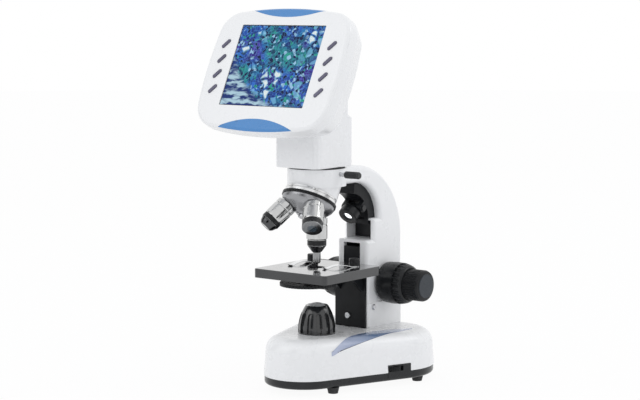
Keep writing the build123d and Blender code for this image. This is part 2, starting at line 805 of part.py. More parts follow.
spot_dir = Vector(0, -cos(radians(spot_aim)), -sin(radians(spot_aim)))
spot_origin = Vector(0, optic_y + spot_lens[0], spot_lens[1])
spot_pivot = spot_origin - spot_dir * spot_pivot_back
spot_plane = Plane(origin=spot_pivot, x_dir=(0, -spot_dir.Y, -spot_dir.Z), z_dir=(1, 0, 0))
bracket_back_y = throat_y + bracket_out_r
bracket_end = round_throat(bracket_in_r, bracket_top_angle)
with BuildPart() as upper_lamp_bracket:
    with BuildSketch(side()) as bracket_profile:
        with BuildLine():
            ThreePointArc(
                round_throat(bracket_in_r, 0),
                round_throat(bracket_in_r, bracket_top_angle / 2),
                bracket_end,
            )
            Line(bracket_end, round_throat(bracket_out_r, bracket_top_angle))
            ThreePointArc(
                round_throat(bracket_out_r, bracket_top_angle),
                round_throat(bracket_out_r, bracket_top_angle / 2),
                round_throat(bracket_out_r, 0),
            )
            Polyline(
                round_throat(bracket_out_r, 0),
                (bracket_back_y, throat_z - bracket_shoulder),
                (bracket_channel_y - seat_gap, throat_z - bracket_shoulder),
                (bracket_channel_y - seat_gap, bracket_low_z),
                (bracket_plate_y, bracket_low_z),
                (bracket_plate_y, throat_z - 6),
                (plate_front, throat_z - 6),
                round_throat(bracket_in_r, 0),
            )
        make_face()
    extrude(amount=bracket_half, both=True)
    # its plate is wider than the arc
    with BuildSketch(side()):
        with BuildLine():
            Polyline(
                (bracket_channel_y - seat_gap, bracket_low_z),
                (bracket_channel_y - seat_gap, throat_z - bracket_shoulder),
                (bracket_plate_y, throat_z - bracket_shoulder),
                (bracket_plate_y, bracket_low_z),
                close=True,
            )
        make_face()
    extrude(amount=bracket_plate_half, both=True)
    # two ears that hold the lamp head's pin
    with BuildSketch(spot_plane):
        Circle(spot_tail_half - 1)
        with Locations((4, 0)):
            Rectangle(8, 2 * spot_tail_half - 2)
    extrude(amount=bracket_half, both=True)
    with BuildSketch(spot_plane):
        Circle(spot_tail_half + 1.5)
        with Locations((-10, 0)):
            Rectangle(20, 30)
    extrude(amount=spot_tail_half + 1 + run_gap, both=True, mode=Mode.SUBTRACT)
    with BuildSketch(spot_plane):
        Circle(spot_pin_r)
    extrude(amount=bracket_half, both=True, mode=Mode.SUBTRACT)
upper_lamp_bracket.part.label = "upper_lamp_bracket"
export_step(upper_lamp_bracket.part, "parts/upper_lamp_bracket.step")

with BuildPart() as spot_pin:
    with BuildSketch(spot_plane.offset(-bracket_half)):
        Circle(spot_pin_r)
    extrude(amount=2 * bracket_half)
    with BuildSketch(spot_plane.offset(bracket_half)):
        Circle(spot_pin_r + 1.4)
    extrude(amount=1.4)
    with BuildSketch(spot_plane.offset(-bracket_half)):
        Circle(spot_pin_r + 1.4)
    extrude(amount=-1.4)

spot_barrel = 7.5
with BuildPart() as upper_lamp_head:
    spot_profile = (
        (0, spot_barrel),
        (spot_r - 1.5, spot_barrel),
        (spot_r, spot_barrel - 1.5),
        (spot_r, -1.0),
        (spot_r - 0.8, -1.8),
        (5.2, -1.8),
        (4.2, 0.4),
        (4.2, 3.4),
        (0, 3.4),
    )
    add(turned([(r, -a) for r, a in spot_profile], spot_dir, spot_origin))
    with BuildSketch(spot_plane):
        Circle(spot_tail_half - 1)
        with Locations((-3, 0)):
            Rectangle(6, 2 * spot_tail_half - 2)
    extrude(amount=spot_tail_half + 1, both=True)
    with BuildSketch(spot_plane):
        Circle(spot_pin_r + shaft_gap)
    extrude(amount=bracket_half, both=True, mode=Mode.SUBTRACT)
upper_lamp_head.part.label = "upper_lamp_head"
export_step(upper_lamp_head.part, "parts/upper_lamp_head.step")

with BuildPart() as upper_lamp_lens:
    lens_profile = ((0, -3.3), (4.1, -3.3), (4.1, -0.4), (3.0, 0.3), (0, 0.9))
    add(turned(lens_profile, spot_dir, spot_origin))
upper_lamp_lens.part.label = "upper_lamp_lens"
export_step(upper_lamp_lens.part, "parts/upper_lamp_lens.step")

# ================================================================ stage and carriage
shelf_half = 16.0
shelf_front_y = 22.0
shelf_thick = 5.0
with BuildPart() as carriage:
    # front plate, hanging below the stage into the base's well
    with BuildSketch(side()):
        with BuildLine():
            Polyline(
                (plate_front_y, plate_low_z),
                (arm_front_y - run_gap, plate_low_z),
                (arm_front_y - run_gap, stage_low_z),
                (plate_front_y, stage_low_z),
                close=True,
            )
        make_face()
    extrude(amount=plate_half, both=True)
    fillet(carriage.edges().filter_by(Axis.Y).group_by(Axis.Z)[0], 2.5)
    # shelf that carries the stage, on two gussets
    with BuildSketch(level(stage_low_z - shelf_thick)):
        with Locations((0, (shelf_front_y + plate_front_y) / 2)):
            Rectangle(2 * shelf_half, plate_front_y - shelf_front_y)
    extrude(amount=shelf_thick)
    for way in (1, -1):
        with BuildSketch(side(way * (shelf_half - 2))):
            with BuildLine():
                Polyline(
                    (plate_front_y, stage_low_z - shelf_thick),
                    (plate_front_y, stage_low_z - shelf_thick - 16),
                    (plate_front_y - 18, stage_low_z - shelf_thick),
                    close=True,
                )
            make_face()
        extrude(amount=2, both=True)
    # tongue that runs in the arm's slideway
    with BuildSketch(level(tongue_low_z)):
        with Locations((0, (arm_front_y - run_gap + tongue_back_y) / 2)):
            Rectangle(2 * tongue_half, tongue_back_y - arm_front_y + run_gap)
    extrude(amount=tongue_top_z - tongue_low_z)
carriage.part.label = "carriage"
export_step(carriage.part, "parts/carriage.step")

# rack teeth are trapezoids about the pitch line, thinned by the backlash
tooth_tip = rack_module
tooth_root = 1.25 * rack_module
tooth_slope = tan(radians(20))
half_tooth = rack_pitch / 4 - backlash / 2
rack_reach_down = slide_up + 5.5
rack_reach_up = slide_down + 5.5
with BuildPart() as focus_rack:
    with BuildSketch(side()) as rack_profile:
        with BuildLine():
            Polyline(
                (tongue_back_y, focus_z - rack_reach_down),
                (pitch_line_y - tooth_root, focus_z - rack_reach_down),
                (pitch_line_y - tooth_root, focus_z + rack_reach_up),
                (tongue_back_y, focus_z + rack_reach_up),
                close=True,
            )
        make_face()
        tooth_count = int((rack_reach_up + rack_reach_down) / rack_pitch) - 1
        first_tooth = focus_z - rack_pitch * (int(rack_reach_down / rack_pitch) - 0.5)
        for number in range(tooth_count):
            tooth_z = first_tooth + number * rack_pitch
            root_half = half_tooth + tooth_root * tooth_slope
            tip_half = half_tooth - tooth_tip * tooth_slope
            with BuildLine():
                Polyline(
                    (pitch_line_y - tooth_root, tooth_z - root_half),
                    (pitch_line_y + tooth_tip, tooth_z - tip_half),
                    (pitch_line_y + tooth_tip, tooth_z + tip_half),
                    (pitch_line_y - tooth_root, tooth_z + root_half),
                    close=True,
                )
            make_face()
    extrude(amount=rack_half, both=True)
focus_rack.part.label = "focus_rack"
export_step(focus_rack.part, "parts/focus_rack.step")

stage_mid_y = (stage_front_y + stage_back_y) / 2
stage_deep = stage_back_y - stage_front_y
shelf_screws = ((8.0, 28.0), (8.0, 40.0))
clip_stem_deep = 3.2
with BuildPart() as stage_plate:
    with BuildSketch(level(stage_low_z)):
        with Locations((0, stage_mid_y)):
            RectangleRounded(2 * stage_half, stage_deep, stage_corner)
    extrude(amount=stage_thick)
    fillet(rim_edges(stage_plate, stage_top_z), 1.0)
    # the underside is relieved, leaving a rim, a pad for the shelf and a boss for the disc
    with BuildSketch(level(stage_low_z)):
        with Locations((0, stage_mid_y)):
            RectangleRounded(2 * (stage_half - stage_rim), stage_deep - 2 * stage_rim, stage_corner / 2)
        with Locations((0, (shelf_front_y + stage_back_y) / 2 - 1)):
            Rectangle(2 * shelf_half + 2, stage_back_y - shelf_front_y + 2, mode=Mode.SUBTRACT)
        with Locations((0, disc_y)):
            Circle(5.0, mode=Mode.SUBTRACT)
    extrude(amount=stage_thick - stage_deck, mode=Mode.SUBTRACT)
    with BuildSketch(level(stage_low_z)):
        Circle(stage_hole_r)
    extrude(amount=stage_thick, mode=Mode.SUBTRACT)
    with BuildSketch(level(stage_top_z)):
        with Locations((clip_x, clip_y), (-clip_x, clip_y)):
            Circle(clip_stem_r + shaft_gap)
    extrude(amount=-clip_stem_deep - 0.5, mode=Mode.SUBTRACT)
    with BuildSketch(level(stage_low_z)):
        with Locations((0, disc_y)):
            Circle(1.6)
        for screw_x, screw_y in shelf_screws:
            with Locations((screw_x, screw_y), (-screw_x, screw_y)):
                Circle(screw_r + shaft_gap)
    extrude(amount=5, mode=Mode.SUBTRACT)
stage_plate.part.label = "stage_plate"
export_step(stage_plate.part, "parts/stage_plate.step")

limit_plane = Plane(origin=(0, optic_y + plate_front_y, limit_z), x_dir=(1, 0, 0), z_dir=(0, -1, 0))
with BuildPart() as carriage_screws:
    for screw_x, screw_y in shelf_screws:
        with Locations((screw_x, optic_y + screw_y, 0), (-screw_x, optic_y + screw_y, 0)):
            with Locations((0, 0, stage_low_z - shelf_thick - 1.8)):
                Cylinder(2.8, 1.8, align=(Align.CENTER, Align.CENTER, Align.MIN))
    with BuildSketch(limit_plane):
        with Locations((limit_x, 0)):
            Circle(limit_head_r)
            Rectangle(2 * limit_head_r + 1, 0.8, mode=Mode.SUBTRACT)
    extrude(amount=limit_head_h)
    with BuildSketch(limit_plane):
        with Locations((limit_x, 0)):
            Circle(limit_head_r)
    extrude(amount=limit_head_h - 1)

disc_top_z = stage_low_z - disc_drop
with BuildPart() as diaphragm_pivot:
    with BuildSketch(level(disc_top_z - disc_thick - 1.6)):
        with Locations((0, disc_y)):
            Circle(4.5)
    extrude(amount=1.4)
    with BuildSketch(level(disc_top_z - disc_thick - 1.6)):
        with Locations((0, disc_y)):
            Circle(1.5)
    extrude(amount=disc_thick + disc_drop + 1.6 + 4)
    with BuildSketch(level(disc_top_z + 0.2)):
        with Locations((0, disc_y)):
            Circle(4.0)
    extrude(amount=disc_drop - 0.2)

with BuildPart() as stage_fasteners:
    add(carriage_screws.part)
    add(diaphragm_pivot.part)
stage_fasteners.part.label = "stage_fasteners"
export_step(stage_fasteners.part, "parts/stage_fasteners.step")

with BuildPart() as diaphragm_disc:
    with BuildSketch(level(disc_top_z - disc_thick)):
        with Locations((0, disc_y)):
            Circle(disc_r)
            Circle(1.55, mode=Mode.SUBTRACT)
            with PolarLocations(disc_r, 48):
                Circle(0.6, mode=Mode.SUBTRACT)
        for number, hole_r in enumerate(disc_holes):
            swing = radians(90 + 60 * number)
            with Locations((-disc_y * cos(swing), disc_y - disc_y * sin(swing))):
                Circle(hole_r, mode=Mode.SUBTRACT)
    extrude(amount=disc_thick)
diaphragm_disc.part.label = "diaphragm_disc"
export_step(diaphragm_disc.part, "parts/diaphragm_disc.step")

clip_tips = {"right": (1, (15.4, -8.2)), "left": (-1, (-26.0, -10.3))}
clip_lift = 2.9
clip_seat = 0.2
clip_low = clip_seat + clip_strip / 2
clip_toe = clip_strip / 2 + 0.1
for hand, (way, clip_tip) in clip_tips.items():
    clip_run = Vector(clip_tip[0] - way * clip_x, clip_tip[1] - clip_y)
    clip_long = clip_run.length
    clip_dir = clip_run.normalized()
    clip_origin = (way * clip_x, optic_y + clip_y, stage_top_z)
    clip_side = Plane(
        origin=clip_origin,
        x_dir=(clip_dir.X, clip_dir.Y, 0),
        z_dir=(clip_dir.Y, -clip_dir.X, 0),
    )
    clip_plan = Plane(origin=clip_origin, x_dir=(clip_dir.X, clip_dir.Y, 0), z_dir=(0, 0, 1))
    with BuildPart() as clip_knob:
        with BuildSketch(clip_plan.offset(clip_seat + clip_strip + seat_gap)):
            Circle(clip_knob_r)
        extrude(amount=7.4)
        fillet(clip_knob.edges().sort_by(Axis.Z)[-1], 1.4)
        with BuildSketch(clip_plan.offset(-clip_stem_deep)):
            Circle(clip_stem_r)
        extrude(amount=clip_stem_deep + 3)
    clip_knob.part.label = "clip_knob_" + hand
    export_step(clip_knob.part, "parts/clip_knob_" + hand + ".step")

    with BuildPart() as clip_spring:
        with BuildSketch(clip_side):
            with BuildLine():
                Line((-4.2, clip_low), (6.5, clip_low))
                ThreePointArc((6.5, clip_low), (clip_long * 0.55, clip_lift), (clip_long - 3.4, clip_toe))
                toe = (clip_long - 1.6, clip_toe + 0.1)
                ThreePointArc((clip_long - 3.4, clip_toe), toe, (clip_long, clip_toe + 1.0))
                offset(amount=clip_strip / 2, side=Side.BOTH)
            make_face()
        extrude(amount=5, both=True)
        with BuildSketch(clip_plan.offset(-1)):
            with BuildLine():
                far_x = clip_long + 2
                Polyline((0, 4.4), (8, 4.0), (far_x, 2.6), (far_x, -2.6), (8, -4.0), (0, -4.4))
                ThreePointArc((0, -4.4), (-4.4, 0), (0, 4.4))
            make_face()
            Circle(clip_stem_r + 0.7, mode=Mode.SUBTRACT)
        extrude(amount=10, mode=Mode.INTERSECT)
    clip_spring.part.label = "clip_spring_" + hand
    export_step(clip_spring.part, "parts/clip_spring_" + hand + ".step")

# ================================================================ focus drive
with BuildSketch() as pinion_tooth:
    with BuildLine():
        root_half = half_tooth + 0.9 * tooth_root * tooth_slope
        tip_half = half_tooth - 1.25 * tooth_tip * tooth_slope
        Polyline(
            (pinion_pitch_r - tooth_root - 0.3, -root_half),
            (pinion_pitch_r, -half_tooth),
            (pinion_pitch_r + tooth_tip, -tip_half),
            (pinion_pitch_r + tooth_tip, tip_half),
            (pinion_pitch_r, half_tooth),
            (pinion_pitch_r - tooth_root - 0.3, root_half),
            close=True,
        )
    make_face()
with BuildPart() as pinion_sleeve:
    sleeve_half = coarse_out_x - 8
    sleeve_profile = (
        (fine_shaft_r + shaft_gap, -sleeve_half),
        (sleeve_r, -sleeve_half),
        (sleeve_r, sleeve_half),
        (fine_shaft_r + shaft_gap, sleeve_half),
    )
    add(turned(sleeve_profile, Vector(1, 0, 0), focus_axis.position))
    with BuildSketch(side(-rack_half - 0.4)) as pinion_profile:
        with Locations((focus_y, focus_z)):
            Circle(pinion_pitch_r - tooth_root)
            Circle(sleeve_r - 0.5, mode=Mode.SUBTRACT)
            with PolarLocations(0, pinion_teeth):
                add(pinion_tooth.sketch)
    extrude(amount=2 * rack_half + 0.8)
pinion_sleeve.part.label = "pinion_sleeve"
export_step(pinion_sleeve.part, "parts/pinion_sleeve.step")

coarse_profile = (
    (sleeve_r + 0.02, coarse_in_x),
    (18.0, coarse_in_x),
    (20.4, coarse_in_x + 1.6),
    (20.9, coarse_in_x + 4),
    (coarse_r + 0.4, coarse_in_x + 13),
    (coarse_r, coarse_in_x + 21),
    (19.6, coarse_out_x - 3.4),
    (18.4, coarse_out_x - 1.2),
    (16.9, coarse_out_x),
    (16.3, coarse_out_x),
    (16.3, coarse_out_x - 3),
    (7.0, coarse_out_x - 3),
    (7.0, coarse_out_x - 8),
    (sleeve_r + 0.02, coarse_out_x - 8),
)
fine_in_x = coarse_out_x - 3 + run_gap
fine_cap_r = 11.8
fine_grip_x = coarse_out_x + 1.4
fine_profile = (
    (fine_shaft_r + 0.02, fine_in_x),
    (fine_knob_r - 0.9, fine_in_x),
    (fine_knob_r, fine_in_x + 0.9),
    (fine_knob_r, fine_out_x - 3.4),
    (fine_knob_r - 0.9, fine_out_x - 1.4),
    (fine_cap_r + 0.2, fine_out_x - 0.9),
    (fine_cap_r, fine_out_x),
    (0, fine_out_x),
    (0, fine_out_x - 3),
    (fine_shaft_r + 0.02, fine_out_x - 3),
)
for hand, way in (("right", 1), ("left", -1)):
    with BuildPart() as coarse_knob:
        add(turned([(r, way * a) for r, a in coarse_profile], Vector(1, 0, 0), focus_axis.position))
        # short finger grooves round the rim
        with BuildSketch(side(way * (coarse_out_x + 1))):
            with Locations((focus_y, focus_z)):
                with PolarLocations(coarse_r + 0.9, 22):
                    Circle(2.9)
        extrude(amount=-way * 11, mode=Mode.SUBTRACT)
    coarse_knob.part.label = "coarse_knob_" + hand
    export_step(coarse_knob.part, "parts/coarse_knob_" + hand + ".step")
    with BuildPart() as fine_knob:
        add(turned([(r, way * a) for r, a in fine_profile], Vector(1, 0, 0), focus_axis.position))
        with BuildSketch(side(way * fine_grip_x)):
            with Locations((focus_y, focus_z)):
                with PolarLocations(fine_knob_r + 0.35, 36):
                    Circle(0.95)
        extrude(amount=way * (fine_out_x - 3.6 - fine_grip_x), mode=Mode.SUBTRACT)
    fine_knob.part.label = "fine_knob_" + hand
    export_step(fine_knob.part, "parts/fine_knob_" + hand + ".step")

with BuildPart() as fine_shaft:
    with BuildSketch(side(-fine_out_x + 3.1)):
        with Locations((focus_y, focus_z)):
            Circle(fine_shaft_r)
    extrude(amount=2 * fine_out_x - 6.2)
fine_shaft.part.label = "fine_shaft"
export_step(fine_shaft.part, "parts/fine_shaft.step")

# ================================================================ turret and objectives
with BuildPart() as nosepiece_base:
    with BuildSketch(turret_plane(stub_face + seat_gap)):
        Circle(stub_r - 0.4)
        Circle(pivot_r + shaft_gap / 2, mode=Mode.SUBTRACT)
    extrude(amount=turret_in - stub_face - seat_gap - run_gap)
    with BuildSketch(level(apex_z)):
        Circle(turret_bore)
    extrude(amount=-60, mode=Mode.SUBTRACT)
nosepiece_base.part.label = "nosepiece_base"
export_step(nosepiece_base.part, "parts/nosepiece_base.step")

turret_out = 43.0
turret_profile = (
    (pivot_r + shaft_gap, turret_in),
    (26.0, turret_in),
    (26.0, ring_from - 0.1),
    (25.2, ring_from - 0.1),
    (25.2, ring_to + 0.1),
    (turret_r, ring_to + 0.1),
    (turret_r, 29.5),
    (25.5, 32.0),
    (22.6, 35.2),
    (9.0, 41.6),
    (7.5, turret_out),
    (pivot_r + shaft_gap, turret_out),
)
objective_seat = 41.5
thread_r = 9.0
with BuildPart() as turret:
    add(turned(turret_profile, turret_axis_dir))
    for index in range(3):
        heading = objective_dir(index)
        light_r = turret_bore + 0.5
        bore_profile = ((0, 18), (light_r, 18), (light_r, 34), (thread_r, 34), (thread_r, 60), (0, 60))
        add(turned(bore_profile, heading), mode=Mode.SUBTRACT)
        spot_face = ((thread_r - 1, objective_seat), (13, objective_seat), (13, 60), (thread_r - 1, 60))
        add(turned(spot_face, heading), mode=Mode.SUBTRACT)
turret.part.label = "turret"
export_step(turret.part, "parts/turret.step")

with BuildPart() as turret_grip_ring:
    with BuildSketch(turret_plane(ring_from)):
        Circle(ring_r)
        with PolarLocations(ring_r, 60):
            Circle(0.55, mode=Mode.SUBTRACT)
        Circle(25.25, mode=Mode.SUBTRACT)
    extrude(amount=ring_to - ring_from)
turret_grip_ring.part.label = "turret_grip_ring"
export_step(turret_grip_ring.part, "parts/turret_grip_ring.step")

with BuildPart() as turret_screw:
    with BuildSketch(turret_plane(stub_face - 3.4)):
        Circle(pivot_r)
    extrude(amount=turret_out + 0.2 - stub_face + 3.4)
    with BuildSketch(turret_plane(turret_out + 0.2)):
        Circle(5.6)
        Rectangle(12, 1.2, mode=Mode.SUBTRACT)
    extrude(amount=2.2)
    with BuildSketch(turret_plane(turret_out + 0.2)):
        Circle(5.6)
    extrude(amount=1.0)

with BuildPart() as side_screws:
    for way in (1, -1):
        screw_profile = (
            (0, way * (arm_foot_half - side_screw_deep)),
            (screw_r, way * (arm_foot_half - side_screw_deep)),
            (screw_r, way * arm_foot_half),
            (screw_head_r, way * arm_foot_half),
            (screw_head_r, way * (arm_foot_half + 0.6)),
            (screw_head_r - 0.9, way * (arm_foot_half + 1.4)),
            (0, way * (arm_foot_half + 1.4)),
        )
        add(turned(screw_profile, Vector(1, 0, 0), Vector(0, optic_y + side_screw[0], side_screw[1])))

with BuildPart() as stand_fasteners:
    add(stand_screws.part)
    add(side_screws.part)
    add(spot_pin.part)
    add(turret_screw.part)
stand_fasteners.part.label = "stand_fasteners"
export_step(stand_fasteners.part, "parts/stand_fasteners.step")

# Objective profiles run from the seat outwards; each has a thread plug inside the turret.
objective_forms = {
    "objective_long": (0, (
        (10.5, 41.6), (10.5, 47.0), (10.0, 47.5), (10.0, 48.3), (10.5, 48.8), (10.5, 62.0),
        (9.5, 63.0), (9.5, 69.0), (9.1, 69.6), (5.2, 75.0), (3.8, 76.0), (3.8, 85.4), (2.8, 86.9),
    )),
    "objective_short": (1, (
        (10.6, 41.6), (10.6, 46.0), (10.1, 46.5), (10.1, 47.3), (10.6, 47.8), (10.4, 60.6),
        (10.0, 61.2), (10.0, 68.4), (9.2, 69.0),
    )),
    "objective_medium": (2, (
        (10.5, 41.6), (10.5, 46.0), (10.0, 46.5), (10.0, 47.3), (10.5, 47.8), (10.4, 59.6),
        (9.9, 60.2), (9.9, 65.6), (9.2, 66.4), (7.9, 69.8), (6.4, 71.6), (5.6, 72.0),
    )),
}
objective_lens_r = {"objective_long": 1.4, "objective_short": 4.6, "objective_medium": 3.4}
# each band: where it starts and ends along the axis, its radius, and how deep it is let in
objective_band = {
    "objective_long": (63.4, 68.6, 9.55),
    "objective_short": (61.6, 67.6, 10.1),
    "objective_medium": (60.6, 65.2, 10.0),
}
band_deep = 0.5
for name, (index, outline) in objective_forms.items():
    heading = objective_dir(index)
    band_from, band_to, band_r = objective_band[name]
    tip_r, tip_at = outline[-1]
    lens_r = objective_lens_r[name]
    groove_r = band_r - band_deep
    with BuildPart() as objective:
        body = [(0, 36.5), (thread_r - 0.05, 36.5), (thread_r - 0.05, 41.6)] + list(outline)
        body = body + [(lens_r + 0.05, tip_at), (lens_r + 0.05, tip_at - 1.2), (0, tip_at - 1.2)]
        add(turned(body, heading))
        groove = ((groove_r, band_from), (14, band_from), (14, band_to), (groove_r, band_to))
        add(turned(groove, heading), mode=Mode.SUBTRACT)
    objective.part.label = name
    export_step(objective.part, "parts/" + name + ".step")

with BuildPart() as objective_bands:
    for name, (index, outline) in objective_forms.items():
        band_from, band_to, band_r = objective_band[name]
        groove_r = band_r - band_deep
        band = ((groove_r, band_from), (band_r, band_from), (band_r, band_to), (groove_r, band_to))
        add(turned(band, objective_dir(index)))
objective_bands.part.label = "objective_bands"
export_step(objective_bands.part, "parts/objective_bands.step")

with BuildPart() as objective_lenses:
    for name, (index, outline) in objective_forms.items():
        tip_r, tip_at = outline[-1]
        lens_r = objective_lens_r[name]
        lens = ((0, tip_at - 1.1), (lens_r, tip_at - 1.1), (lens_r, tip_at - 0.1), (0, tip_at - 0.1))
        add(turned(lens, objective_dir(index)))
objective_lenses.part.label = "objective_lenses"
export_step(objective_lenses.part, "parts/objective_lenses.step")

# ================================================================ head
seam_gap = 0.3
seam_plane = Plane(
    origin=(0, optic_y + neck_back_y, neck_seam_z),
    x_dir=(1, 0, 0),
    z_dir=(0, tilt_sin, tilt_cos),
)
neck_low_z = arm_top_z + washer_thick + run_gap
camera_bore_r = 14.0
camera_bore_top = 258.0
stem_seat = 3.0          # how far the stem's shoulder is let into the neck
with BuildPart() as neck_housing:
    with BuildSketch(level(neck_low_z)) as neck_plan:
        with Locations((0, (neck_front_y + neck_back_y) / 2)):
            Rectangle(2 * neck_half, neck_back_y - neck_front_y)
        fillet(neck_plan.vertices().group_by(Axis.Y)[0], neck_front_round)
        fillet(neck_plan.vertices().group_by(Axis.Y)[-1], neck_round)
    extrude(amount=100)
    split(bisect_by=seam_plane, keep=Keep.BOTTOM)
    fillet(rim_edges(neck_housing, neck_low_z), 1.2)
    with BuildSketch(level(neck_low_z)):
        Circle(camera_bore_r)
    extrude(amount=camera_bore_top - neck_low_z, mode=Mode.SUBTRACT)
    with BuildSketch(level(neck_low_z)):
        Circle(stem_r + seat_gap)
    extrude(amount=stem_seat + seat_gap, mode=Mode.SUBTRACT)
neck_housing.part.label = "neck_housing"
export_step(neck_housing.part, "parts/neck_housing.step")

# the camera's barrel carries the stem, with the groove for the clamping screw's tip
groove_half = 2.4
groove_r = stem_r - 1.5
with BuildPart() as camera_module:
    barrel = (
        (turret_bore, stem_low_z),
        (stem_r, stem_low_z),
        (stem_r, stem_groove_z - groove_half),
        (groove_r, stem_groove_z - groove_half),
        (groove_r, stem_groove_z + groove_half),
        (stem_r, stem_groove_z + groove_half),
        (stem_r, neck_low_z + stem_seat),
        (10.0, neck_low_z + stem_seat),
        (10.0, camera_bore_top - 18),
        (camera_bore_r - seat_gap, camera_bore_top - 18),
        (camera_bore_r - seat_gap, camera_bore_top - 12),
        (0, camera_bore_top - 12),
        (0, camera_bore_top - 16),
        (turret_bore, camera_bore_top - 16),
    )
    add(turned(barrel, Vector(0, 0, 1), Vector(0, optic_y, 0)))
camera_module.part.label = "camera_module"
export_step(camera_module.part, "parts/camera_module.step")

thumb_tip_x = stem_r + run_gap
with BuildPart() as head_thumbscrew:
    thumb_profile = (
        (0, thumb_tip_x),
        (thumb_shank_r, thumb_tip_x),
        (thumb_shank_r, thumb_in_x),
        (thumb_r - 0.6, thumb_in_x),
        (thumb_r, thumb_in_x + 0.9),
        (thumb_r, thumb_out_x - 1.2),
        (thumb_r - 0.8, thumb_out_x),
        (0, thumb_out_x),
    )
    add(turned(thumb_profile, Vector(1, 0, 0), Vector(0, optic_y, stem_groove_z)))
    with BuildSketch(side(thumb_in_x + 2)):
        with Locations((0, stem_groove_z)):
            with PolarLocations(thumb_r + 0.2, 16):
                Circle(0.5)
    extrude(amount=thumb_out_x - thumb_in_x - 4.4, mode=Mode.SUBTRACT)
head_thumbscrew.part.label = "head_thumbscrew"
export_step(head_thumbscrew.part, "parts/head_thumbscrew.step")


# ================================================================ screen
def face_outline(shrink=0.0):
    """The screen housing's outline: four shallow arcs with rounded corners."""
    side_u = face_side_u - shrink
    shoulder_v = face_shoulder_v - shrink
    foot_v = face_foot_v + shrink
    belly = (face_belly_u - shrink, (face_shoulder_v + face_foot_v) / 2)
    with BuildSketch() as outline:
        with BuildLine():
            ThreePointArc((-side_u, shoulder_v), (0, face_top_v - shrink), (side_u, shoulder_v))
            ThreePointArc((side_u, shoulder_v), belly, (side_u, foot_v))
            ThreePointArc((side_u, foot_v), (0, face_bottom_v + shrink), (-side_u, foot_v))
            ThreePointArc((-side_u, foot_v), (-belly[0], belly[1]), (-side_u, shoulder_v))
        make_face()
        fillet(outline.vertices().group_by(Axis.Y)[-1], face_corner_top - shrink)
        fillet(outline.vertices().sort_by(Axis.Y)[:2], face_corner_low - shrink)
    return outline.sketch


with BuildPart() as bezel_form:
    with BuildSketch(face(bezel_depth)):
        add(face_outline())
    extrude(amount=bezel_depth)
    front_rim = bezel_form.faces().sort_by(Axis(face(0).origin, face(0).z_dir))[-1].edges()
    fillet(front_rim, face_round)

crescent_half = 46.0
crescent_top = (face_shoulder_v + 4.6, 50.7)
crescent_low = (-65.0, -55.0)
with BuildPart() as crescents:
    with BuildSketch(face(trim_depth)):
        for ends_v, crown_v in (crescent_top, crescent_low):
            outer_v = 1.4 * ends_v
            with BuildLine():
                ThreePointArc((-crescent_half, ends_v), (0, crown_v), (crescent_half, ends_v))
                Polyline(
                    (crescent_half, ends_v),
                    (crescent_half, outer_v),
                    (-crescent_half, outer_v),
                    (-crescent_half, ends_v),
                )
            make_face()
    extrude(amount=trim_depth + 5)

button_places = [(way * button_u, v) for v in button_v for way in (-1, 1)]
button_hole = run_gap
display_screw_u = 68.0
display_screw_v = (38.0, -44.0)
screw_places = [(way * display_screw_u, v) for v in display_screw_v for way in (-1, 1)]
screw_sink = 6.0
pcb_depth = 10.5
pcb_thick = 1.5
pcb_margin = 5.0
pcb_high = 76.0
with BuildPart() as display_bezel:
    add(bezel_form.part)
    with BuildSketch(face(bezel_depth)):
        add(face_outline(bezel_wall))
    extrude(amount=bezel_depth - face_wall, mode=Mode.SUBTRACT)
    add(crescents.part, mode=Mode.SUBTRACT)
    # window for the glass
    with BuildSketch(face(bezel_depth)):
        RectangleRounded(glass_w + 2 * seat_gap, glass_h + 2 * seat_gap, 1.0)
    extrude(amount=bezel_depth + 1, mode=Mode.SUBTRACT)
    # button holes
    with BuildSketch(face(bezel_depth)):
        with Locations(*[Location((u, v, 0), (0, 0, button_slant)) for u, v in button_places]):
            SlotOverall(button_long + 2 * button_hole, button_wide + 2 * button_hole)
    extrude(amount=bezel_depth + 1, mode=Mode.SUBTRACT)
    # four screw posts
    with BuildSketch(face(bezel_depth)):
        with Locations(*screw_places):
            Circle(3.4)
            Circle(screw_r + shaft_gap, mode=Mode.SUBTRACT)
    extrude(amount=bezel_depth - face_wall)
display_bezel.part.label = "display_bezel"
export_step(display_bezel.part, "parts/display_bezel.step")

with BuildPart() as display_trims:
    add(bezel_form.part)
    add(crescents.part, mode=Mode.INTERSECT)
display_trims.part.label = "display_trims"
export_step(display_trims.part, "parts/display_trims.step")

with BuildPart() as lcd_panel:
    with BuildSketch(face(face_wall + seat_gap)):
        RectangleRounded(glass_w, glass_h, 0.9)
    extrude(amount=face_wall + seat_gap - glass_sink)
    with BuildSketch(face(face_wall + seat_gap + module_depth)):
        RectangleRounded(glass_w + 2 * module_margin, glass_h + 2 * module_margin, 1.5)
    extrude(amount=module_depth)
lcd_panel.part.label = "lcd_panel"
export_step(lcd_panel.part, "parts/lcd_panel.step")

switch_top = face_wall + seat_gap + button_flange + button_travel + 0.2
with BuildPart() as display_board:
    with BuildSketch(face(pcb_depth)):
        Rectangle(2 * (button_u + pcb_margin), pcb_high)
        with Locations(*screw_places):
            Circle(4.0, mode=Mode.SUBTRACT)
    extrude(amount=pcb_thick)
    with BuildSketch(face(pcb_depth)):
        with Locations(*button_places):
            Rectangle(5, 5)
    extrude(amount=pcb_depth - switch_top)
display_board.part.label = "display_board"
export_step(display_board.part, "parts/display_board.step")

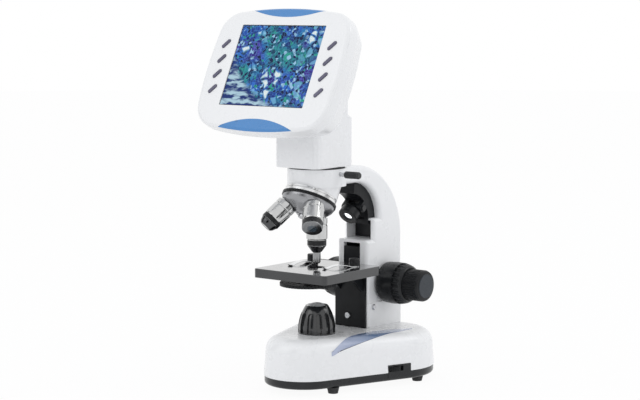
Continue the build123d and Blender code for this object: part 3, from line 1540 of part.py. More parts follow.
rear_shrink = rear_depth * tan(radians(rear_taper))
back_dir = Vector(0, tilt_cos, -tilt_sin)
back_sort = Axis(face(0).origin, back_dir)
with BuildPart() as rear_form:
    for depth, shrink in ((bezel_depth, 0), (bezel_depth + rear_depth, rear_shrink)):
        with BuildSketch(face(depth)):
            add(face_outline(shrink))
    loft()
    fillet(rear_form.faces().sort_by(back_sort)[-1].edges(), rear_round)
with BuildPart() as rear_room:
    room_depth = rear_depth - bezel_wall
    room_shrink = room_depth * tan(radians(rear_taper))
    for depth, shrink in ((bezel_depth, 0), (bezel_depth + room_depth, room_shrink)):
        with BuildSketch(face(depth)):
            add(face_outline(shrink + bezel_wall))
    loft()
with BuildPart() as rear_posts:
    with BuildSketch(face(bezel_depth)):
        with Locations(*screw_places):
            Circle(post_r - 0.6)
    extrude(amount=-rear_depth)
    add(rear_form.part, mode=Mode.INTERSECT)
with BuildPart() as hump:
    with BuildSketch(side()) as hump_profile:
        with BuildLine():
            Polyline(
                (face_y + 24, face_z + 12),
                (face_y + 24, neck_seam_z - 40),
                (hump_back_y, neck_seam_z - 40),
                (hump_back_y, hump_top_z),
                (hump_back_y - 26, hump_top_z + 22),
                (face_y + 44, face_z + 12),
                close=True,
            )
        make_face()
        back_corners = hump_profile.vertices().group_by(Axis.X)
        fillet(back_corners[-1] + back_corners[-2], hump_round)
    extrude(amount=hump_half, both=True)
    fillet(hump.edges().group_by(Axis.X)[0] + hump.edges().group_by(Axis.X)[-1], neck_round)
    split(bisect_by=seam_plane.offset(seam_gap), keep=Keep.TOP)
with BuildPart() as display_rear_shell:
    add(rear_form.part)
    add(hump.part)
    add(rear_room.part, mode=Mode.SUBTRACT)
    add(rear_posts.part)
    # counterbored holes for the screws that reach into the bezel's posts
    with BuildSketch(face(bezel_depth)):
        with Locations(*screw_places):
            Circle(screw_r + shaft_gap)
    extrude(amount=-rear_depth - 2, mode=Mode.SUBTRACT)
    with BuildSketch(face(bezel_depth + screw_sink)):
        with Locations(*screw_places):
            Circle(screw_head_r + seat_gap)
    extrude(amount=-rear_depth, mode=Mode.SUBTRACT)
display_rear_shell.part.label = "display_rear_shell"
export_step(display_rear_shell.part, "parts/display_rear_shell.step")

with BuildPart() as display_screws:
    with BuildSketch(face(bezel_depth + screw_sink)):
        with Locations(*screw_places):
            Circle(screw_head_r)
    extrude(amount=-screw_head_h)
    with BuildSketch(face(bezel_depth + screw_sink)):
        with Locations(*screw_places):
            Circle(screw_r)
    extrude(amount=screw_sink + 7)
display_screws.part.label = "display_screws"
export_step(display_screws.part, "parts/display_screws.step")

for column, way in (("left", -1), ("right", 1)):
    for row, v in enumerate(button_v, start=1):
        name = "button_" + column + "_" + str(row)
        with BuildPart() as button:
            with BuildSketch(face(face_wall + seat_gap)):
                with Locations(Location((way * button_u, v, 0), (0, 0, button_slant))):
                    SlotOverall(button_long, button_wide)
            extrude(amount=face_wall + seat_gap + button_proud)
            button_rim = button.faces().sort_by(Axis(face(0).origin, face(0).z_dir))[-1].edges()
            fillet(button_rim, 0.6)
            with BuildSketch(face(face_wall + seat_gap + button_flange)):
                with Locations(Location((way * button_u, v, 0), (0, 0, button_slant))):
                    SlotOverall(button_long + 2.4, button_wide + 2.4)
            extrude(amount=button_flange)
        button.part.label = name
        export_step(button.part, "parts/" + name + ".step")
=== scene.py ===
"""Looks of the microscope with a swivelling screen head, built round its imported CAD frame.

Metres, +Z up, -Y the front. The optical axis is the vertical line at y = OPTIC_Y.
"""

from math import cos, pi, radians, sin

import bmesh
import bpy
from mathutils import Matrix, Vector


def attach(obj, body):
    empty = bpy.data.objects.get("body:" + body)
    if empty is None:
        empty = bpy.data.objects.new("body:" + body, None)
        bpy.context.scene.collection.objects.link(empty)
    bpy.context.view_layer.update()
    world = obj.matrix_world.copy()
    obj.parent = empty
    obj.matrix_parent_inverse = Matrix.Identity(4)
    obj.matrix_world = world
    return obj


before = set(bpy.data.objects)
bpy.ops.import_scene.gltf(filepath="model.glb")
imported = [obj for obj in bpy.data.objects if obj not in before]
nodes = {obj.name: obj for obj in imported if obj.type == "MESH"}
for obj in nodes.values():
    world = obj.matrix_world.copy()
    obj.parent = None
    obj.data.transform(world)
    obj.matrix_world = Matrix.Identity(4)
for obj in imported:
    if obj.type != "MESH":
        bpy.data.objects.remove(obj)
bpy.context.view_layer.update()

MM = 0.001
OPTIC_Y = -15.3439 * MM
FOCUS_AXIS = Vector((0, 73.456 * MM, 95.4 * MM))
FACE_TILT = radians(25.84)
FACE_CENTRE = Vector((0, OPTIC_Y - 68.93 * MM, 320.27 * MM))
FACE_X = Vector((1, 0, 0))
FACE_UP = Vector((0, sin(FACE_TILT), cos(FACE_TILT)))
FACE_OUT = Vector((0, -cos(FACE_TILT), sin(FACE_TILT)))
TURRET_TILT = radians(28)
TURRET_DIR = Vector((0, -sin(TURRET_TILT), -cos(TURRET_TILT)))
APEX = Vector((0, OPTIC_Y, 209.6 * MM))
OBJECTIVE_DIRS = {
    name: Matrix.Rotation(radians(120 * index), 3, TURRET_DIR) @ Vector((0, 0, -1))
    for index, name in enumerate(("objective_long", "objective_short", "objective_medium"))
}


# ---------------------------------------------------------------- node helpers
def put(tree, kind, inputs=None, **settings):
    """Adds a shader node. Inputs are values or sockets, by name or number."""
    node = tree.nodes.new("ShaderNode" + kind)
    for key, value in settings.items():
        setattr(node, key, value)
    for key, value in (inputs or {}).items():
        if isinstance(value, bpy.types.NodeSocket):
            tree.links.new(value, node.inputs[key])
        else:
            node.inputs[key].default_value = value
    return node


def rgba(colour):
    """A colour with its alpha."""
    return (*colour, 1.0) if len(colour) == 3 else colour


def mix(tree, factor, first, second):
    """A colour mix; first and second are colours or sockets."""
    pick = [v if isinstance(v, bpy.types.NodeSocket) else rgba(v) for v in (first, second)]
    return put(tree, "Mix", {0: factor, 6: pick[0], 7: pick[1]}, data_type="RGBA").outputs[2]


def maths(tree, operation, first, second=0.0, clamp=False):
    """A maths node's result; clamp keeps it between 0 and 1."""
    inputs = {0: first, 1: second}
    return put(tree, "Math", inputs, operation=operation, use_clamp=clamp).outputs[0]


def waves_of(tree, distance, pitch):
    """A sine wave along a distance, one turn per pitch."""
    return maths(tree, "SINE", maths(tree, "MULTIPLY", distance, 2 * pi / pitch))


def spread(tree, value, low, high, to_low=0.0, to_high=1.0, kind="LINEAR"):
    """Maps a value's range onto another."""
    inputs = {0: value, 1: low, 2: high, 3: to_low, 4: to_high}
    return put(tree, "MapRange", inputs, interpolation_type=kind).outputs[0]


def place(tree):
    """The point in the piece's own space, which for a CAD node is the row frame at rest."""
    return put(tree, "TexCoord").outputs["Object"]


def noise(tree, point, scale, detail=2.0, rough=0.5):
    """Smooth noise about 0.5, scale waves to the metre."""
    inputs = {"Vector": point, "Scale": scale, "Detail": detail, "Roughness": rough}
    return put(tree, "TexNoise", inputs).outputs[0]


def uneven(tree, point, scale, low, high, detail=2.0, rough=0.5):
    """A value that drifts between low and high over the surface, mostly for roughness."""
    return spread(tree, noise(tree, point, scale, detail, rough), 0.3, 0.7, low, high)


def cells(tree, point, scale, feature="F1", random=1.0):
    """A Voronoi node, with about scale cells to the metre."""
    inputs = {"Vector": point, "Scale": scale, "Randomness": random}
    return put(tree, "TexVoronoi", inputs, feature=feature)


def bump(tree, height, strength, distance, below=None):
    """A normal bumped by a height, on top of another bump's normal if one is given."""
    inputs = {"Strength": strength, "Distance": distance, "Height": height}
    if below is not None:
        inputs["Normal"] = below
    return put(tree, "Bump", inputs).outputs[0]


def vectors(tree, operation, first, second=(0, 0, 0)):
    """A vector node; vectors that aren't sockets may be tuples or Vectors."""
    inputs = {0: first, 1: second if isinstance(second, bpy.types.NodeSocket) else tuple(second)}
    return put(tree, "VectorMath", inputs, operation=operation)


def along(tree, point, direction, origin=(0, 0, 0)):
    """The distance of a point along a direction from an origin."""
    from_origin = vectors(tree, "SUBTRACT", point, origin).outputs[0]
    return vectors(tree, "DOT_PRODUCT", from_origin, direction).outputs["Value"]


def off_axis(tree, point, direction, origin):
    """The distance of a point from an axis."""
    from_origin = vectors(tree, "SUBTRACT", point, origin).outputs[0]
    across = vectors(tree, "CROSS_PRODUCT", from_origin, direction).outputs[0]
    return vectors(tree, "LENGTH", across).outputs["Value"]


def edge_mask(tree, radius, point, patch_scale=180.0):
    """About 1 along worn edges and 0 elsewhere."""
    rounded = put(tree, "Bevel", {"Radius": radius}, samples=4).outputs[0]
    flat = put(tree, "NewGeometry").outputs["Normal"]
    match = vectors(tree, "DOT_PRODUCT", rounded, flat).outputs["Value"]
    edge = spread(tree, match, 0.995, 0.88)
    patches = spread(tree, noise(tree, point, patch_scale, 3.0), 0.4, 0.65)
    return maths(tree, "MULTIPLY", edge, patches, clamp=True)


def material(name):
    """A new material with an empty Principled shader: (material, tree, shader)."""
    made = bpy.data.materials.new(name)
    made.use_nodes = True
    tree = made.node_tree
    tree.nodes.clear()
    out = tree.nodes.new("ShaderNodeOutputMaterial")
    shader = tree.nodes.new("ShaderNodeBsdfPrincipled")
    tree.links.new(shader.outputs[0], out.inputs["Surface"])
    return made, tree, shader


def feed(tree, shader, **inputs):
    """Sets or links the shader's inputs; underscores stand for spaces."""
    for key, value in inputs.items():
        socket = shader.inputs[key.replace("_", " ")]
        if isinstance(value, bpy.types.NodeSocket):
            tree.links.new(value, socket)
        else:
            socket.default_value = rgba(value) if isinstance(value, tuple) else value


# ---------------------------------------------------------------- materials
def white_shell(
    name,
    light=(0.84, 0.846, 0.858),
    shade=(0.82, 0.826, 0.836),
    grain=1300.0,
    grain_depth=0.04,
    gloss=0.27,
):
    """Smooth white moulding or enamel: faint clouding, a fine orange peel and uneven gloss."""
    made, tree, shader = material(name)
    point = place(tree)
    cloud = noise(tree, point, 9.0, 3.0)
    colour = mix(tree, spread(tree, cloud, 0.35, 0.65), light, shade)
    peel = bump(tree, noise(tree, point, grain, 1.0), grain_depth, 0.0002)
    waves = bump(tree, noise(tree, point, 26.0, 0.0), 0.012, 0.002, peel)
    feed(
        tree,
        shader,
        Base_Color=colour,
        Roughness=uneven(tree, point, 60.0, gloss - 0.05, gloss + 0.08, 4.0, 0.6),
        Normal=waves,
        Coat_Weight=0.25,
        Coat_Roughness=0.12,
    )
    return made


def black_part(
    name,
    colour=(0.009, 0.0098, 0.0112),
    gloss=0.36,
    grain=2200.0,
    grain_depth=0.25,
    worn=None,
    coat=0.0,
    shine=0.22,
    polish=0.15,
):
    """Black moulding or coating: fine texture, dusty patches and, where asked, worn edges.

    gloss and polish are the roughness of the part and of its coat, and shine its specular level.
    """
    made, tree, shader = material(name)
    point = place(tree)
    dust = spread(tree, noise(tree, point, 55.0, 3.0, 0.55), 0.35, 0.75)
    pale = tuple(min(1.0, c * 1.5 + 0.002) for c in colour)
    shown = mix(tree, dust, colour, pale)
    if worn:
        bared = maths(tree, "MULTIPLY", edge_mask(tree, 0.0005, point), worn)
        shown = mix(tree, bared, shown, (0.16, 0.165, 0.17))
    rough = uneven(tree, point, 240.0, gloss - 0.06, gloss + 0.08, 3.0)
    fine = bump(tree, noise(tree, point, grain, 2.0, 0.6), grain_depth, 0.0001)
    feed(tree, shader, Base_Color=shown, Roughness=rough, Normal=fine, Specular_IOR_Level=shine)
    feed(tree, shader, Coat_Weight=coat, Coat_Roughness=polish)
    return made


def metal(
    name,
    colour,
    rough,
    axis=None,
    origin=(0, 0, 0),
    pitch=0.00045,
    depth=0.12,
    tint=0.5,
    nose=None,
):
    """Bare metal: turned rings along an axis, or a short brushed grain, with faint stains.

    nose is (distance along the axis, colour): the metal past that distance is darker.
    """
    made, tree, shader = material(name)
    point = place(tree)
    stain = spread(tree, noise(tree, point, 120.0, 4.0, 0.6), 0.35, 0.7)
    darker = tuple(c * (1.0 - 0.3 * tint) for c in colour)
    shown = mix(tree, stain, colour, darker)
    if nose:
        nose_from, nose_colour = nose
        past = spread(tree, along(tree, point, axis, origin), nose_from, nose_from + 0.0002)
        shown = mix(tree, past, shown, nose_colour)
    if axis is not None:
        turned = waves_of(tree, along(tree, point, axis, origin), pitch)
        chatter = maths(tree, "MULTIPLY", noise(tree, point, 500.0, 1.0), 0.3)
        height = maths(tree, "ADD", turned, chatter)
    else:
        stretched = put(tree, "Mapping", {"Vector": point, "Scale": (1.0, 14.0, 14.0)}).outputs[0]
        height = noise(tree, stretched, 160.0, 3.0, 0.6)
    feed(
        tree,
        shader,
        Base_Color=shown,
        Metallic=1.0,
        Roughness=uneven(tree, point, 160.0, rough - 0.04, rough + 0.05),
        Normal=bump(tree, height, depth, 0.0001),
    )
    return made


def stand_steel(name):
    """The stand's screws: plain steel, but blackened on the upper lamp's pin.

    The pin is the only one of them that lies both behind and above pin_corner.
    """
    made, tree, shader = material(name)
    point = place(tree)
    pin_corner = (0, OPTIC_Y + 0.04, 0.15)
    behind = spread(tree, along(tree, point, (0, 1, 0), pin_corner), -0.0001, 0.0001)
    above = spread(tree, along(tree, point, (0, 0, 1), pin_corner), -0.0001, 0.0001)
    pin = maths(tree, "MULTIPLY", behind, above)
    patches = spread(tree, noise(tree, point, 120.0, 4.0, 0.6), 0.35, 0.7)
    stain = mix(tree, patches, (0.55, 0.56, 0.58), (0.46, 0.47, 0.49))
    feed(
        tree,
        shader,
        Base_Color=mix(tree, pin, stain, (0.012, 0.0125, 0.014)),
        Metallic=spread(tree, pin, 0.0, 1.0, 1.0, 0.0),
        Roughness=uneven(tree, point, 300.0, 0.24, 0.38, 3.0),
        Normal=bump(tree, noise(tree, point, 900.0, 2.0), 0.1, 0.0001),
    )
    return made


def clear_glass(name, colour=(0.9, 0.96, 0.97), rough=0.02, glow=0.0):
    """Lens glass with a faint coating tint and a few specks."""
    made, tree, shader = material(name)
    point = place(tree)
    tint = mix(tree, noise(tree, point, 220.0, 2.0), colour, tuple(c * 0.93 for c in colour))
    speck = cells(tree, point, 900.0).outputs["Distance"]
    feed(
        tree,
        shader,
        Base_Color=tint,
        Roughness=spread(tree, speck, 0.05, 0.12, rough + 0.15, rough),
        IOR=1.52,
        Transmission_Weight=0.85,
        Coat_Weight=0.6,
    )
    if glow:
        feed(tree, shader, Emission_Color=tint, Emission_Strength=glow)
    return made


def frosted(name):
    """The lower lamp's diffuser: a pale dome with fine concentric steps."""
    made, tree, shader = material(name)
    point = place(tree)
    radius = off_axis(tree, point, (0, 0, 1), (0, OPTIC_Y, 0))
    grain = noise(tree, point, 2600.0, 2.0)
    rings = bump(tree, waves_of(tree, radius, 0.0013), 0.3, 0.0003)
    towards_rim = spread(tree, radius, 0.0, 0.0105)
    colour = mix(tree, towards_rim, (0.88, 0.89, 0.88), (0.7, 0.72, 0.73))
    feed(
        tree,
        shader,
        Base_Color=colour,
        Roughness=spread(tree, grain, 0.3, 0.7, 0.28, 0.4),
        Transmission_Weight=0.25,
        IOR=1.49,
        Normal=bump(tree, grain, 0.2, 0.0001, rings),
    )
    return made


def accent_inlay(name):
    """The crescent on the base: deep blue in the middle, fading to grey-blue at both tips."""
    made, tree, shader = material(name)
    point = place(tree)
    middle, half_length = 0.028, 0.05
    back = along(tree, point, (0, 1, 0), (0, OPTIC_Y, 0))
    off_middle = maths(tree, "ABSOLUTE", maths(tree, "SUBTRACT", back, middle))
    fade = spread(tree, off_middle, 0.0, half_length)
    colour = mix(tree, fade, (0.09, 0.155, 0.29), (0.42, 0.46, 0.6))
    flake = noise(tree, point, 2400.0, 1.0)
    colour = mix(tree, spread(tree, flake, 0.45, 0.7, 0.0, 0.25), colour, (0.5, 0.58, 0.72))
    feed(
        tree,
        shader,
        Base_Color=colour,
        Roughness=uneven(tree, point, 80.0, 0.2, 0.3, 3.0),
        Normal=bump(tree, flake, 0.05, 0.0001),
        Coat_Weight=0.5,
        Coat_Roughness=0.08,
    )
    return made


def trim_inlay(name):
    """The sky-blue crescents on the screen housing."""
    made, tree, shader = material(name)
    point = place(tree)
    cloud = noise(tree, point, 30.0, 3.0)
    colour = mix(tree, spread(tree, cloud, 0.35, 0.65), (0.052, 0.22, 0.52), (0.06, 0.235, 0.55))
    feed(
        tree,
        shader,
        Base_Color=colour,
        Roughness=uneven(tree, point, 120.0, 0.22, 0.34, 3.0),
        Normal=bump(tree, noise(tree, point, 1500.0, 1.0), 0.06, 0.0001),
        Coat_Weight=0.3,
        Coat_Roughness=0.1,
    )
    return made


def circuit_board(name):
    """Green solder mask with copper tracks under it and tinned pads."""
    made, tree, shader = material(name)
    point = place(tree)
    bricks = {"Vector": point, "Scale": 260.0, "Mortar Size": 0.06}
    tracks = put(tree, "TexBrick", bricks).outputs[1]
    board = mix(tree, tracks, (0.01, 0.12, 0.045), (0.03, 0.2, 0.09))
    pads = spread(tree, cells(tree, point, 330.0, random=0.4).outputs["Distance"], 0.16, 0.13)
    feed(
        tree,
        shader,
        Base_Color=mix(tree, pads, board, (0.6, 0.58, 0.5)),
        Roughness=uneven(tree, point, 200.0, 0.3, 0.45),
        Normal=bump(tree, tracks, 0.3, 0.0001),
    )
    return made


def rubber(name):
    """Matt black rubber with pale dust on it."""
    made, tree, shader = material(name)
    point = place(tree)
    dust = spread(tree, noise(tree, point, 150.0, 4.0, 0.7), 0.4, 0.8)
    feed(
        tree,
        shader,
        Base_Color=mix(tree, dust, (0.012, 0.012, 0.013), (0.05, 0.05, 0.052)),
        Roughness=uneven(tree, point, 500.0, 0.62, 0.8),
        Normal=bump(tree, noise(tree, point, 1800.0, 3.0, 0.7), 0.5, 0.0002),
    )
    return made


def lit_emitter(name):
    """The lamp's emitter: a yellow phosphor dome on a white board."""
    made, tree, shader = material(name)
    point = place(tree)
    radius = off_axis(tree, point, (0, 0, 1), (0, OPTIC_Y, 0))
    off_dome = spread(tree, radius, 0.0026, 0.0032)
    colour = mix(tree, off_dome, (0.8, 0.6, 0.12), (0.75, 0.76, 0.76))
    feed(tree, shader, Base_Color=colour, Roughness=uneven(tree, point, 400.0, 0.3, 0.5))
    return made


def thumbscrew(name, split_x, shank, knob):
    """A thumbscrew along X: a metal shank up to split_x, then a black knob."""
    made, tree, shader = material(name)
    point = place(tree)
    x = along(tree, point, (1, 0, 0))
    on_knob = spread(tree, x, split_x - 0.0001, split_x + 0.0001)
    thread = bump(tree, waves_of(tree, x, 0.0007), 0.35, 0.0003)
    grain = noise(tree, point, 1800.0, 2.0)
    dusty = mix(tree, noise(tree, point, 90.0, 3.0), knob, tuple(2 * c for c in knob))
    feed(
        tree,
        shader,
        Base_Color=mix(tree, on_knob, shank, dusty),
        Metallic=spread(tree, on_knob, 0.0, 1.0, 1.0, 0.0),
        Roughness=spread(tree, on_knob, 0.0, 1.0, 0.25, 0.38),
        Normal=bump(tree, grain, 0.15, 0.0001, thread),
    )
    return made


def fine_knob(name):
    """A black knob whose end has a dark grey spun disc."""
    made, tree, shader = material(name)
    point = place(tree)
    x = maths(tree, "ABSOLUTE", along(tree, point, (1, 0, 0)))
    radius = off_axis(tree, point, (1, 0, 0), FOCUS_AXIS)
    past_rim = spread(tree, x, 0.0696, 0.0698)
    within_rim = spread(tree, radius, 0.0121, 0.012)
    on_end = maths(tree, "MULTIPLY", past_rim, within_rim)
    rings = maths(tree, "MULTIPLY", waves_of(tree, radius, 0.0006), on_end)
    grain = bump(tree, noise(tree, point, 2000.0), 0.2, 0.0001)
    black = mix(tree, noise(tree, point, 60.0, 3.0), (0.008, 0.0088, 0.01), (0.013, 0.0138, 0.0155))
    grey = mix(tree, noise(tree, point, 120.0, 2.0), (0.04, 0.046, 0.054), (0.055, 0.062, 0.072))
    feed(
        tree,
        shader,
        Base_Color=mix(tree, on_end, black, grey),
        Metallic=spread(tree, on_end, 0.0, 1.0, 0.0, 0.2),
        Roughness=spread(tree, on_end, 0.0, 1.0, 0.33, 0.42),
        Specular_IOR_Level=0.22,
        Normal=bump(tree, rings, 0.2, 0.0001, grain),
    )
    return made


def screen_picture(name):
    """A generic stained plant tissue: cells, bright vessels and a band of dark fibres.

    The piece lies flat in its own space, with X across the screen and Y up it.
    """
    made, tree, shader = material(name)
    point = place(tree)
    cell_scale, patch_scale, wobble_by = 340.0, 115.0, 0.008
    wobble = put(tree, "TexNoise", {"Vector": point, "Scale": 75.0, "Detail": 2.0}).outputs["Color"]
    shift = vectors(tree, "SUBTRACT", wobble, (0.5, 0.5, 0.5)).outputs[0]
    shift = put(tree, "VectorMath", {0: shift, "Scale": wobble_by}, operation="SCALE").outputs[0]
    bent = vectors(tree, "ADD", point, shift).outputs[0]
    small = cells(tree, bent, cell_scale)
    large = cells(tree, bent, patch_scale)
    walls = cells(tree, bent, cell_scale, "DISTANCE_TO_EDGE").outputs["Distance"]
    lobes = cells(tree, bent, patch_scale, "DISTANCE_TO_EDGE").outputs["Distance"]
    parts = put(tree, "SeparateColor", {0: small.outputs["Color"]})
    shade, hue = parts.outputs[0], parts.outputs[1]
    pick = put(tree, "SeparateColor", {0: large.outputs["Color"]}).outputs[1]

    region = noise(tree, point, 24.0, 2.0, 0.5)
    sky = mix(tree, shade, (0.006, 0.02, 0.2), (0.03, 0.16, 0.62))
    sea = mix(tree, shade, (0.004, 0.05, 0.12), (0.02, 0.3, 0.3))
    plum = mix(tree, shade, (0.015, 0.008, 0.16), (0.09, 0.05, 0.42))
    tissue = mix(tree, spread(tree, region, 0.44, 0.54), sea, sky)
    tissue = mix(tree, spread(tree, noise(tree, point, 33.0, 1.0), 0.55, 0.66), tissue, plum)
    tissue = mix(tree, spread(tree, hue, 0.9, 0.92), tissue, (0.02, 0.3, 0.22))
    tissue = mix(tree, spread(tree, shade, 0.86, 0.9), tissue, (0.3, 0.52, 0.72))
    tissue = mix(tree, spread(tree, hue, 0.16, 0.14), tissue, (0.003, 0.01, 0.06))
    pale = maths(tree, "MULTIPLY", spread(tree, pick, 0.8, 0.84), spread(tree, lobes, 0.06, 0.14))
    tissue = mix(tree, maths(tree, "MULTIPLY", pale, 0.6), tissue, (0.2, 0.5, 0.72))
    vessel = maths(tree, "MULTIPLY", spread(tree, pick, 0.93, 0.95), spread(tree, lobes, 0.14, 0.22))
    tissue = mix(tree, vessel, tissue, (0.75, 0.82, 0.8))
    tissue = mix(tree, spread(tree, walls, 0.09, 0.02, 0.0, 0.4), tissue, (0.12, 0.36, 0.62))
    tissue = mix(tree, spread(tree, lobes, 0.05, 0.0, 0.0, 0.7), tissue, (0.004, 0.012, 0.06))

    # a pale rind that crosses the lower left corner in an arc, with dark fibres in it
    rind_centre = (0.034, 0.052, 0.0)
    rind = spread(tree, off_axis(tree, bent, (0, 0, 1), rind_centre), 0.092, 0.098, kind="SMOOTHSTEP")
    drawn = put(tree, "Mapping", {"Vector": bent, "Scale": (0.5, 2.2, 1.0)}).outputs[0]
    strands = noise(tree, drawn, 90.0, 3.0, 0.55)
    fibre = mix(tree, spread(tree, strands, 0.42, 0.54), (0.4, 0.58, 0.68), (0.01, 0.03, 0.16))
    shown = mix(tree, rind, tissue, fibre)

    # the panel's columns of pixels, just visible
    columns = {"Vector": point, "Scale": 700.0}
    grid = put(tree, "TexWave", columns, wave_type="BANDS", bands_direction="X").outputs[1]
    shown = mix(tree, maths(tree, "MULTIPLY", grid, 0.06), shown, (0.0, 0.0, 0.0))
    feed(
        tree,
        shader,
        Base_Color=mix(tree, 0.75, shown, (0.0, 0.0, 0.0)),
        Emission_Color=shown,
        Emission_Strength=0.8,
        Specular_IOR_Level=0.12,
        Roughness=uneven(tree, point, 90.0, 0.18, 0.26, 3.0),
        Coat_Weight=0.05,
        Coat_Roughness=0.05,
    )
    return made


WHITE = white_shell("white_moulding")
ENAMEL = white_shell("white_enamel", (0.83, 0.836, 0.846), (0.81, 0.816, 0.825), 620.0, 0.1, 0.3)
BLACK_BASE = black_part("base_black", gloss=0.3, coat=0.35)
BLACK = black_part("fine_black")
BLACK_GLOSS = black_part(
    "gloss_black", (0.01, 0.011, 0.0125), 0.16, 1500.0, 0.06, coat=0.7, shine=0.5, polish=0.05
)
KNOB = black_part("knob_black", (0.008, 0.0088, 0.01), 0.3, 2000.0, 0.15, coat=0.12)
STAGE_BLACK = black_part(
    "stage_black", (0.012, 0.013, 0.015), 0.16, 2600.0, 0.03, 0.4, coat=1.0, shine=0.3, polish=0.05
)
ANODISED = black_part(
    "anodised_black", (0.008, 0.009, 0.0105), 0.34, 2400.0, 0.12, worn=0.3, shine=0.2
)
GREY = black_part("button_grey", (0.1, 0.096, 0.14), 0.42, 1600.0, 0.15, shine=0.3)
GLASS_FRAME = black_part("screen_border", (0.008, 0.009, 0.013), 0.1, 900.0, 0.02, coat=0.3)
STEEL = metal("machined_steel", (0.55, 0.56, 0.58), 0.3)
SPRING = metal("spring_steel", (0.82, 0.83, 0.84), 0.16)
BRASS = metal("machined_brass", (0.72, 0.52, 0.22), 0.28)
TURRET_METAL = metal(
    "turret_metal",
    (0.86, 0.865, 0.87),
    0.3,
    TURRET_DIR,
    APEX,
    pitch=0.0006,
    depth=0.02,
    tint=0.1,
    nose=(0.026, (0.34, 0.345, 0.36)),
)
FROSTED = frosted("frosted_lens")
LIT_LENS = clear_glass("lit_lens", (0.95, 0.97, 1.0), 0.08, 0.8)
LENS_DARK = clear_glass("front_lens", (0.2, 0.27, 0.33), 0.03)

# how far from the apex each objective's darker nose starts, and its colour
OBJECTIVE_NOSE = {
    "objective_long": (0.0686, (0.3, 0.305, 0.31)),
    "objective_short": (0.0676, (0.24, 0.245, 0.25)),
    "objective_medium": (0.0652, (0.09, 0.092, 0.095)),
}
OBJECTIVE_METAL = {
    name: metal(
        name + "_metal",
        (0.6, 0.605, 0.605),
        0.11,
        direction,
        APEX,
        pitch=0.0005,
        depth=0.02,
        tint=0.3,
        nose=OBJECTIVE_NOSE[name],
    )
    for name, direction in OBJECTIVE_DIRS.items()
}
FINE_KNOB = fine_knob("fine_knob_black")

# each node's look, and the width of the bevel on its edges in millimetres
DRESS = {
    "base_shell": (WHITE, 0.5),
    "base_plate": (BLACK_BASE, 0.4),
    "base_feet": (rubber("foot_rubber"), 0.3),
    "base_accents": (accent_inlay("shoulder_inlay"), 0.0),
    "stand_fasteners": (stand_steel("stand_steel"), 0.15),
    "neck_washer": (rubber("washer_rubber"), 0.15),
    "back_ports": (BLACK, 0.2),
    "light_switch": (BLACK_GLOSS, 0.4),
    "dimmer_wheel": (BLACK, 0.15),
    "dimmer_spindle": (STEEL, 0.0),
    "power_board": (circuit_board("power_board_green"), 0.0),
    "lower_lamp_housing": (BLACK_GLOSS, 0.6),
    "lower_lamp_lens": (FROSTED, 0.2),
    "lower_lamp_led": (lit_emitter("emitter"), 0.1),
    "arm": (ENAMEL, 0.6),
    "focus_bushes": (BLACK, 0.4),
    "slide_gibs": (ANODISED, 0.0),
    "upper_lamp_bracket": (BLACK, 0.3),
    "upper_lamp_head": (KNOB, 0.25),
    "upper_lamp_lens": (LIT_LENS, 0.1),
    "carriage": (ANODISED, 0.4),
    "focus_rack": (BRASS, 0.0),
    "stage_plate": (STAGE_BLACK, 0.3),
    "stage_fasteners": (STEEL, 0.15),
    "diaphragm_disc": (BLACK, 0.2),
    "clip_knob_right": (KNOB, 0.2),
    "clip_knob_left": (KNOB, 0.2),
    "clip_spring_right": (SPRING, 0.08),
    "clip_spring_left": (SPRING, 0.08),
    "pinion_sleeve": (STEEL, 0.0),
    "coarse_knob_right": (KNOB, 0.3),
    "coarse_knob_left": (KNOB, 0.3),
    "fine_knob_right": (FINE_KNOB, 0.25),
    "fine_knob_left": (FINE_KNOB, 0.25),
    "fine_shaft": (STEEL, 0.0),
    "nosepiece_base": (TURRET_METAL, 0.0),
    "turret": (TURRET_METAL, 0.3),
    "turret_grip_ring": (KNOB, 0.15),
    "objective_long": (OBJECTIVE_METAL["objective_long"], 0.15),
    "objective_short": (OBJECTIVE_METAL["objective_short"], 0.15),
    "objective_medium": (OBJECTIVE_METAL["objective_medium"], 0.15),
    "objective_bands": (KNOB, 0.1),
    "objective_lenses": (LENS_DARK, 0.05),
    "neck_housing": (WHITE, 0.5),
    "camera_module": (BLACK, 0.0),
    "head_thumbscrew": (
        thumbscrew("thumbscrew", 0.0355, (0.66, 0.67, 0.69), (0.014, 0.0145, 0.016)),
        0.15,
    ),
    "display_bezel": (WHITE, 0.4),
    "display_trims": (trim_inlay("sky_trim"), 0.0),
    "lcd_panel": (GLASS_FRAME, 0.1),
    "display_board": (circuit_board("display_board_green"), 0.0),
    "display_rear_shell": (WHITE, 0.5),
    "display_screws": (STEEL, 0.15),
}
for column in ("left", "right"):
    for row in range(1, 5):
        DRESS[f"button_{column}_{row}"] = (GREY, 0.15)

for name, (look, _) in DRESS.items():
    node = nodes[name]
    node.data.materials.clear()
    node.data.materials.append(look)


# ---------------------------------------------------------------- screen picture
def flat_frame(depth):
    """A matrix whose X runs across the screen and Y up it, at a depth behind the housing's face."""
    turned = Matrix((FACE_X, FACE_UP, FACE_OUT)).transposed().to_4x4()
    return Matrix.Translation(FACE_CENTRE - FACE_OUT * depth) @ turned


def add_object(name, data):
    """A new object in the scene's own collection."""
    made = bpy.data.objects.new(name, data)
    bpy.context.scene.collection.objects.link(made)
    return made


def finish_mesh(name, work):
    """A mesh made from a bmesh, which is freed."""
    mesh = bpy.data.meshes.new(name)
    work.to_mesh(mesh)
    work.free()
    return mesh


